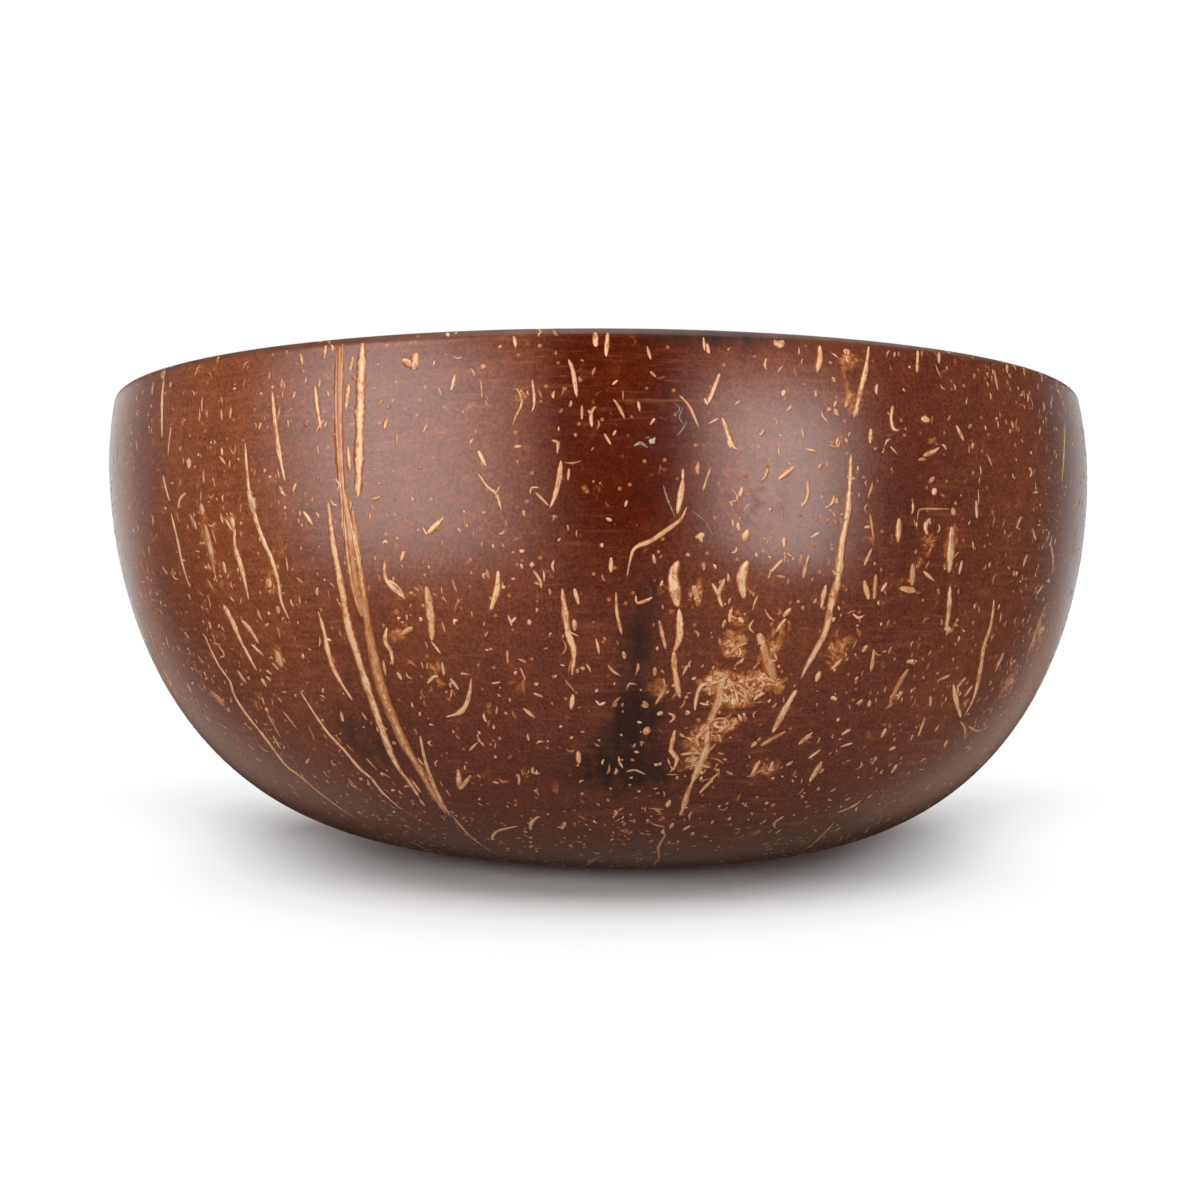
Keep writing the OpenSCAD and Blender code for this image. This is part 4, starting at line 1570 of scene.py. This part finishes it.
class Flecks:
    """Short fibre ends, strewn by chance over a face of the wall."""

    PER_PIECE = 2600
    RINGS = 6

    SLOPE_STEP = 0.3 * MM
    STEEPEST = 12.0
    CROWD = 0.75
    CROWD_SWING = 0.9
    CROWD_SCALE = 55
    SHADE_THINS = 0.55
    GREATEST_CROWD = 8

    LEVEL_FACE = 0.97
    TURN_SPREAD = 0.35
    LENGTH_SPREAD = 0.5
    LONGEST = 3.0
    STRAIGHT_SHARE = 0.7
    STRAIGHT_BEND = 0.35
    HOOKED_BEND = 1.2
    BEND_SHIFT = 0.08
    ROUTE_SHARES = (-0.5, -0.25, 0.0, 0.25, 0.5)
    WIDTH_SPREAD = 0.3
    WIDEST = 2.0
    SHADE_NARROWS = 0.25
    SHADE_DIMS = 0.25
    TONE_SPREAD = 0.34
    TAPER_RANGE = (0.6, 1.1)

    def __init__(self, tones: ToneMap, bed: FibreBed) -> None:
        """Keeps the wall.

        Args:
            tones: The wall's masks.
            bed: Lays the fibres.
        """
        self.form = tones.form
        self.tones = tones
        self.tree = tones.tree
        self.bed = bed

    def _in_patch(self, draw: random.Random) -> Vector:
        """A random point of a mottled patch."""
        weights = [patch.half_width * patch.half_height * patch.strength for patch in MOTTLES]
        while True:
            patch = draw.choices(MOTTLES, weights)[0]
            pixel = (draw.gauss(patch.x, patch.half_width), draw.gauss(patch.y, patch.half_height))
            place = self.tones.on_wall(pixel)
            if place is not None:
                return place

    def _on_side(self, face: Face, angle: float, draw: random.Random) -> Vector:
        """A random point of the outside or the hollow at an angle, rarer in the painted shade between the
        highlights and in some clouds.
        """
        form = self.form
        lowest = 0.0 if face is Face.OUTSIDE else form.floor_wall
        radius_at = form.outer_radius if face is Face.OUTSIDE else form.inner_radius
        while True:
            z = draw.uniform(lowest, form.height)
            radii = radius_at(np.array([z, z + self.SLOPE_STEP]))
            slope = min(self.STEEPEST, math.hypot(1.0, (radii[1] - radii[0]) / self.SLOPE_STEP))
            spot = form.place(float(radii[0]), z, angle)
            cloudy = self.CROWD + self.CROWD_SWING * chance.noise(spot * self.CROWD_SCALE)
            crowd = cloudy - self.SHADE_THINS * min(1.0, self.tones.level("deep_and_shaded", spot))
            if draw.random() < radii[0] / (form.belly_d / 2) * slope * crowd / self.GREATEST_CROWD:
                return spot

    def _spot(self, face: Face, draw: random.Random) -> Vector:
        """A random point of a face, as likely in any part of its area."""
        form = self.form
        angle = draw.uniform(-math.pi, math.pi)
        if face is Face.CLUMP:
            return self._in_patch(draw)
        if face is Face.RIM:
            outer = form.belly_d / 2 - form.rim_inset
            radius = draw.uniform(outer - form.rim_wall + form.rim_round / 2, outer)
            return form.place(radius, form.height, angle)
        if face is Face.BASE:
            return form.place(form.base_flat_d / 2 * math.sqrt(draw.random()), 0.0, angle)
        return self._on_side(face, angle, draw)

    def run(self, spread: FleckSpread, draw: random.Random) -> FibreRun:
        """One random fleck, straight or hooked, narrower between the highlights, and dimmer there as painted
        shade.
        """
        seat, normal, _, _ = self.tree.find_nearest(self._spot(spread.face, draw))
        level_face = abs(normal.z) >= self.LEVEL_FACE
        up = Vector((seat.x, seat.y, 0)).normalized() if level_face else Vector((0, 0, 1))
        along = (up - normal * up.dot(normal)).normalized()
        across = normal.cross(along)
        lies_along = draw.random() < spread.along
        turn = draw.gauss(0, self.TURN_SPREAD) if lies_along else draw.uniform(-math.pi / 2, math.pi / 2)
        length = spread.long_mm * MM * min(self.LONGEST, draw.lognormvariate(0, self.LENGTH_SPREAD))
        straight = draw.random() < self.STRAIGHT_SHARE
        bend = draw.gauss(0, self.STRAIGHT_BEND if straight else self.HOOKED_BEND)
        ahead = along * math.cos(turn) + across * math.sin(turn)
        aside = normal.cross(ahead)
        route = [seat + ahead * (length * t) + aside * (length * bend * (t * t - self.BEND_SHIFT))
                 for t in self.ROUTE_SHARES]
        # Painted shade: flecks between the highlights turn narrower and dimmer.
        deep_and_shaded = min(1.0, self.tones.level("deep_and_shaded", seat))
        broad = spread.wide_mm * MM * min(self.WIDEST, draw.lognormvariate(0, self.WIDTH_SPREAD))
        wide = broad * (1 - self.SHADE_NARROWS * deep_and_shaded)
        tone = draw.gauss(spread.tone - self.SHADE_DIMS * deep_and_shaded, self.TONE_SPREAD)
        return FibreRun(route, wide / 2, min(1.0, max(0.0, tone)), draw.uniform(*self.TAPER_RANGE))

    def make(self, spread: FleckSpread) -> list[bpy.types.Object]:
        """Strews one face's flecks, in pieces of a few thousand."""
        draw = random.Random(spread.seed)
        runs = [self.run(spread, draw) for _ in range(spread.count)]
        batches = [runs[start:start + self.PER_PIECE] for start in range(0, len(runs), self.PER_PIECE)]
        return [self.bed.lay(f"{spread.face.value}_flecks_{number + 1}", batch, self.RINGS)
                for number, batch in enumerate(batches)]


SPREADS = (
    FleckSpread(Face.OUTSIDE, 5800, 0.66, 0.4, 0.55, 0.5, 11),
    FleckSpread(Face.CLUMP, 170, 0.6, 0.45, 0.5, 0.6, 15),
    FleckSpread(Face.HOLLOW, 1100, 0.9, 0.2, 0.8, 0.3, 12),
    FleckSpread(Face.RIM, 170, 0.45, 0.28, 0.5, 0.6, 13),
    FleckSpread(Face.BASE, 170, 0.5, 0.32, 0.4, 0.6, 14),
)


@dataclass(frozen=True)
class Softbox:
    """A lamp with a diffuser, placed by the direction it shines from.

    The diffuser dims towards its left, right, bottom and top edges, each over its own share of it. Its
    right edge keeps a right_level of its light.
    """

    name: str
    azimuth: float
    elevation: float
    distance: float
    width: float
    height: float
    radiance: float
    soft: tuple[float, float, float, float] = (0.1, 0.1, 0.1, 0.1)
    right_level: float = 0.0

    def _fade_edges(self, data: bpy.types.Light) -> None:
        """Dims the diffuser towards its edges."""
        data.use_nodes = True
        recipe = Recipe(data.node_tree)
        place = recipe.node("NewGeometry").outputs["Parametric"]
        parts = recipe.node("SeparateXYZ", {0: place}).outputs
        left, right, bottom, top = self.soft
        sides = recipe.math("MULTIPLY", recipe.fade(parts[0], 0.0, left),
                            recipe.fade(parts[0], 1.0, 1 - right, self.right_level))
        ends = recipe.math("MULTIPLY", recipe.fade(parts[1], 0.0, bottom),
                           recipe.fade(parts[1], 1.0, 1 - top))
        glow = recipe.node("Emission", {"Strength": recipe.math("MULTIPLY", sides, ends)}).outputs[0]
        recipe.node("OutputLight", {0: glow})

    def make(self, aim: Vector) -> None:
        """Adds the lamp, turned to its aim."""
        data = bpy.data.lights.new(self.name, "AREA")
        self._fade_edges(data)
        data.shape = "RECTANGLE"
        data.size = self.width
        data.size_y = self.height
        data.energy = self.radiance * math.pi * self.width * self.height
        lamp = bpy.data.objects.new(self.name, data)
        azimuth, elevation = math.radians(self.azimuth), math.radians(self.elevation)
        toward = Vector((math.sin(azimuth) * math.cos(elevation), -math.cos(azimuth) * math.cos(elevation),
                         math.sin(elevation)))
        lamp.location = aim + toward * self.distance
        lamp.rotation_euler = toward.to_track_quat("Z", "Y").to_euler()
        lamp.visible_camera = False
        bpy.context.scene.collection.objects.link(lamp)


SOFTBOXES = (
    Softbox("left_softbox", -48, 4, 0.9, 1.2, 1.1, 4.2, (0.5, 0.42, 0.3, 0.25), 0.12),
    Softbox("right_softbox", 36, 9, 0.9, 0.78, 0.84, 5.0, (0.45, 0.42, 0.1, 0.5)),
    Softbox("front_top_softbox", -10, 68, 1.0, 1.2, 0.6, 2.6),
    Softbox("top_softbox", 150, 70, 1.1, 1.2, 1.2, 1.6),
)


class Studio:
    """The pale floor, the softboxes and the white surround."""

    WHITE = (1.0, 1.0, 1.0, 1.0)

    FLOOR_HALF = 3.0
    FLOOR_DROP = 0.02 * MM
    FLOOR_LIT = (0.56, 0.55, 0.54, 1.0)
    FLOOR_SEEN = (0.95, 0.95, 0.95, 1.0)
    SHADOW_MIDDLE = (-1.6 * MM, 2 * MM, 0.0)
    SHADOW_FORWARD = 0.71
    SHADOW_SPREAD = (-25 * MM, 100 * MM, 0.0, 40.5 * MM)
    SHADOW_FADE = (29.7 * MM, 64 * MM)
    SHADOW_CURVE = 0.84
    SHADOW_BACK = (21 * MM, 160 * MM, 1.0, 0.0)

    BEHIND = (0.4, 0.97, 0.03, 0.8)
    OVERHEAD = (0.15, 0.5, 1.0, 0.2)
    LOW = (-0.03, -0.11)
    LOW_COLOR = (1.0, 0.74, 0.62, 1.0)
    LOW_MIDDLE = (0.64, 0.26)
    LOW_LOSS = -0.97
    UNDER = (-0.3, -0.7, 0.0, 0.15)
    BESIDE_DEPTH = (0.0, 0.5)
    BESIDE_LEFT = (-0.1, -0.5)
    BESIDE_HEIGHT = (-0.2, 0.1, 0.0, 0.17)

    def make(self, aim: Vector) -> None:
        """Adds all of it."""
        self._floor()
        self._world()
        for softbox in SOFTBOXES:
            softbox.make(aim)

    def _floor(self) -> None:
        """Lays the floor, just below the bowl's base."""
        bm = bmesh.new()
        bmesh.ops.create_grid(bm, x_segments=1, y_segments=1, size=self.FLOOR_HALF,
                              matrix=Matrix.Translation((0, 0, -self.FLOOR_DROP)))
        floor = add_object("pale_floor", bm)
        floor.data.materials.append(self._floor_material())

    def _floor_material(self) -> bpy.types.Material:
        """A matte that turns white away from the bowl. Glossy rays and views from below pass through it."""
        made, recipe = new_material("pale_floor")
        path = recipe.node("LightPath").outputs
        beneath = recipe.node("NewGeometry").outputs["Backfacing"]
        shade = recipe.mix(path["Is Camera Ray"], self.FLOOR_LIT, self.FLOOR_SEEN)
        matte = recipe.node("BsdfDiffuse", {"Color": shade}).outputs[0]
        white = recipe.node("Emission", {"Strength": 1.0}).outputs[0]
        shadowless = recipe.math("SUBTRACT", 1.0, self._shadow(recipe))
        whitened = recipe.math("MULTIPLY", shadowless, path["Is Camera Ray"])
        lit = recipe.node("MixShader", {0: whitened, 1: matte, 2: white}).outputs[0]
        clear = recipe.node("BsdfTransparent").outputs[0]
        see_through = recipe.math("MAXIMUM", path["Is Glossy Ray"], beneath)
        surface = recipe.node("MixShader", {0: see_through, 1: lit, 2: clear}).outputs[0]
        recipe.node("OutputMaterial", {"Surface": surface})
        return made

    def _shadow(self, recipe: Recipe) -> Socket:
        """How far a point of the floor lies in the photograph's soft shadow, which widens to the back."""
        place = recipe.own_place()
        parts = recipe.node("SeparateXYZ", {0: recipe.vector("SUBTRACT", place, self.SHADOW_MIDDLE)}).outputs
        forward = recipe.math("MULTIPLY", recipe.math("MINIMUM", parts["Y"], 0.0), self.SHADOW_FORWARD)
        away = recipe.vector("LENGTH", recipe.node("CombineXYZ", {0: parts["X"], 1: forward}).outputs[0])
        depth = recipe.node("SeparateXYZ", {0: place}).outputs["Y"]
        past = recipe.math("SUBTRACT", away, recipe.fade(depth, *self.SHADOW_SPREAD))
        faded = recipe.math("POWER", recipe.fade(past, *self.SHADOW_FADE), self.SHADOW_CURVE)
        beside = recipe.math("SUBTRACT", 1.0, faded)
        return recipe.math("MULTIPLY", beside, recipe.fade(depth, *self.SHADOW_BACK))

    def _world(self) -> None:
        """Makes the surround white to the camera and graded to everything else."""
        world = bpy.data.worlds.new("studio")
        world.use_nodes = True
        bpy.context.scene.world = world
        recipe = Recipe(world.node_tree)
        seen = recipe.node("LightPath").outputs["Is Camera Ray"]
        shade = recipe.mix(seen, self._graded(recipe), self.WHITE)
        surround = recipe.node("Background", {"Color": shade, "Strength": 1.0}).outputs[0]
        recipe.node("OutputWorld", {"Surface": surround})

    def _graded(self, recipe: Recipe) -> Socket:
        """The surround's light: bright behind, dim overhead and low down, with a soft light at the left."""
        direction = recipe.node("TexCoord").outputs["Generated"]
        parts = recipe.node("SeparateXYZ", {0: direction}).outputs
        behind = recipe.math("MULTIPLY", recipe.fade(parts["Y"], *self.BEHIND),
                             recipe.fade(parts["Z"], *self.OVERHEAD))
        low = recipe.fade(parts["Z"], *self.LOW)
        central = recipe.fade(recipe.math("ABSOLUTE", parts["X"]), *self.LOW_MIDDLE)
        kept = recipe.math("MULTIPLY_ADD", recipe.math("MULTIPLY", low, central), self.LOW_LOSS, 1.0)
        under = recipe.fade(parts["Z"], *self.UNDER)
        beside = recipe.math("MULTIPLY", recipe.fade(parts["Y"], *self.BESIDE_DEPTH),
                             recipe.fade(parts["X"], *self.BESIDE_LEFT))
        kicked = recipe.math("MULTIPLY_ADD", beside, recipe.fade(parts["Z"], *self.BESIDE_HEIGHT), under)
        level = recipe.math("MULTIPLY_ADD", behind, kept, kicked)
        return recipe.mix(1.0, recipe.mix(low, self.WHITE, self.LOW_COLOR), level, "MULTIPLY")


class CoconutBowl:
    """The whole bowl: its wall, its fibres and its filled eyes."""

    BODY = "root"
    EYE_NODES = ("soft_eye_plug", "left_hard_eye_fill", "right_hard_eye_fill")

    def __init__(self, view: Viewpoint) -> None:
        """Keeps the viewpoint and the form.

        Args:
            view: The photograph's viewpoint.
        """
        self.view = view
        self.form = BowlForm()
        self.tone = ShellTone()

    def make(self) -> None:
        """Builds and dresses every piece."""
        wall = Wall(self.form)
        tree = wall.tree()
        tones = ToneMap(self.form, tree, self.view)
        tones.dress(wall.object.data)
        wall.object.data.materials.append(ShellFinish(self.tone).material())
        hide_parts("shell")
        bed = FibreBed(tree, tones)
        strands = Strands(tones, bed)
        flecks = Flecks(tones, bed)
        fibres = strands.make("strands", STRANDS, all_round=True)
        for spread in SPREADS:
            fibres += flecks.make(spread)
        glinting_scratches = strands.make("glinting_scratches", GLINTING_SCRATCHES_AND_CHIPS, all_round=False)
        # The pale grey of these scratches is a painted glint of the softboxes.
        pale = FibreFinish(self.tone, "glinting_scratch", core=paint("c9b09e"), vein=paint("e0d0c4"),
                           dim=paint("6e4834"), edge=paint("5e3626"))
        self._finish(fibres, FibreFinish(self.tone, "cream_fibre"))
        self._finish(glinting_scratches, pale)
        for piece in (*fibres, wall.object, *glinting_scratches):
            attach(piece, self.BODY)
            LOG.info("%s: %d faces", piece.name, len(piece.data.polygons))
        self._fill_eyes()

    def _finish(self, pieces: list[bpy.types.Object], finish: FibreFinish) -> None:
        """Gives some pieces one material."""
        material = finish.material()
        for piece in pieces:
            piece.data.materials.append(material)

    def _fill_eyes(self) -> None:
        """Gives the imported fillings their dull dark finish."""
        filler = FillerFinish().material()
        for name in self.EYE_NODES:
            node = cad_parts[name]
            node.data.materials.clear()
            node.data.materials.append(filler)
            LOG.info("%s: dressed", name)


def main() -> None:
    """Builds the scene in order."""
    logging.basicConfig(level=logging.INFO)
    bpy.context.scene.view_settings.view_transform = "Standard"
    view = Viewpoint()
    view.make_camera()
    bowl = CoconutBowl(view)
    bowl.make()
    Studio().make(Vector((0.0, 0.0, bowl.form.height / 2)))


if __name__ == "__main__":
    main()
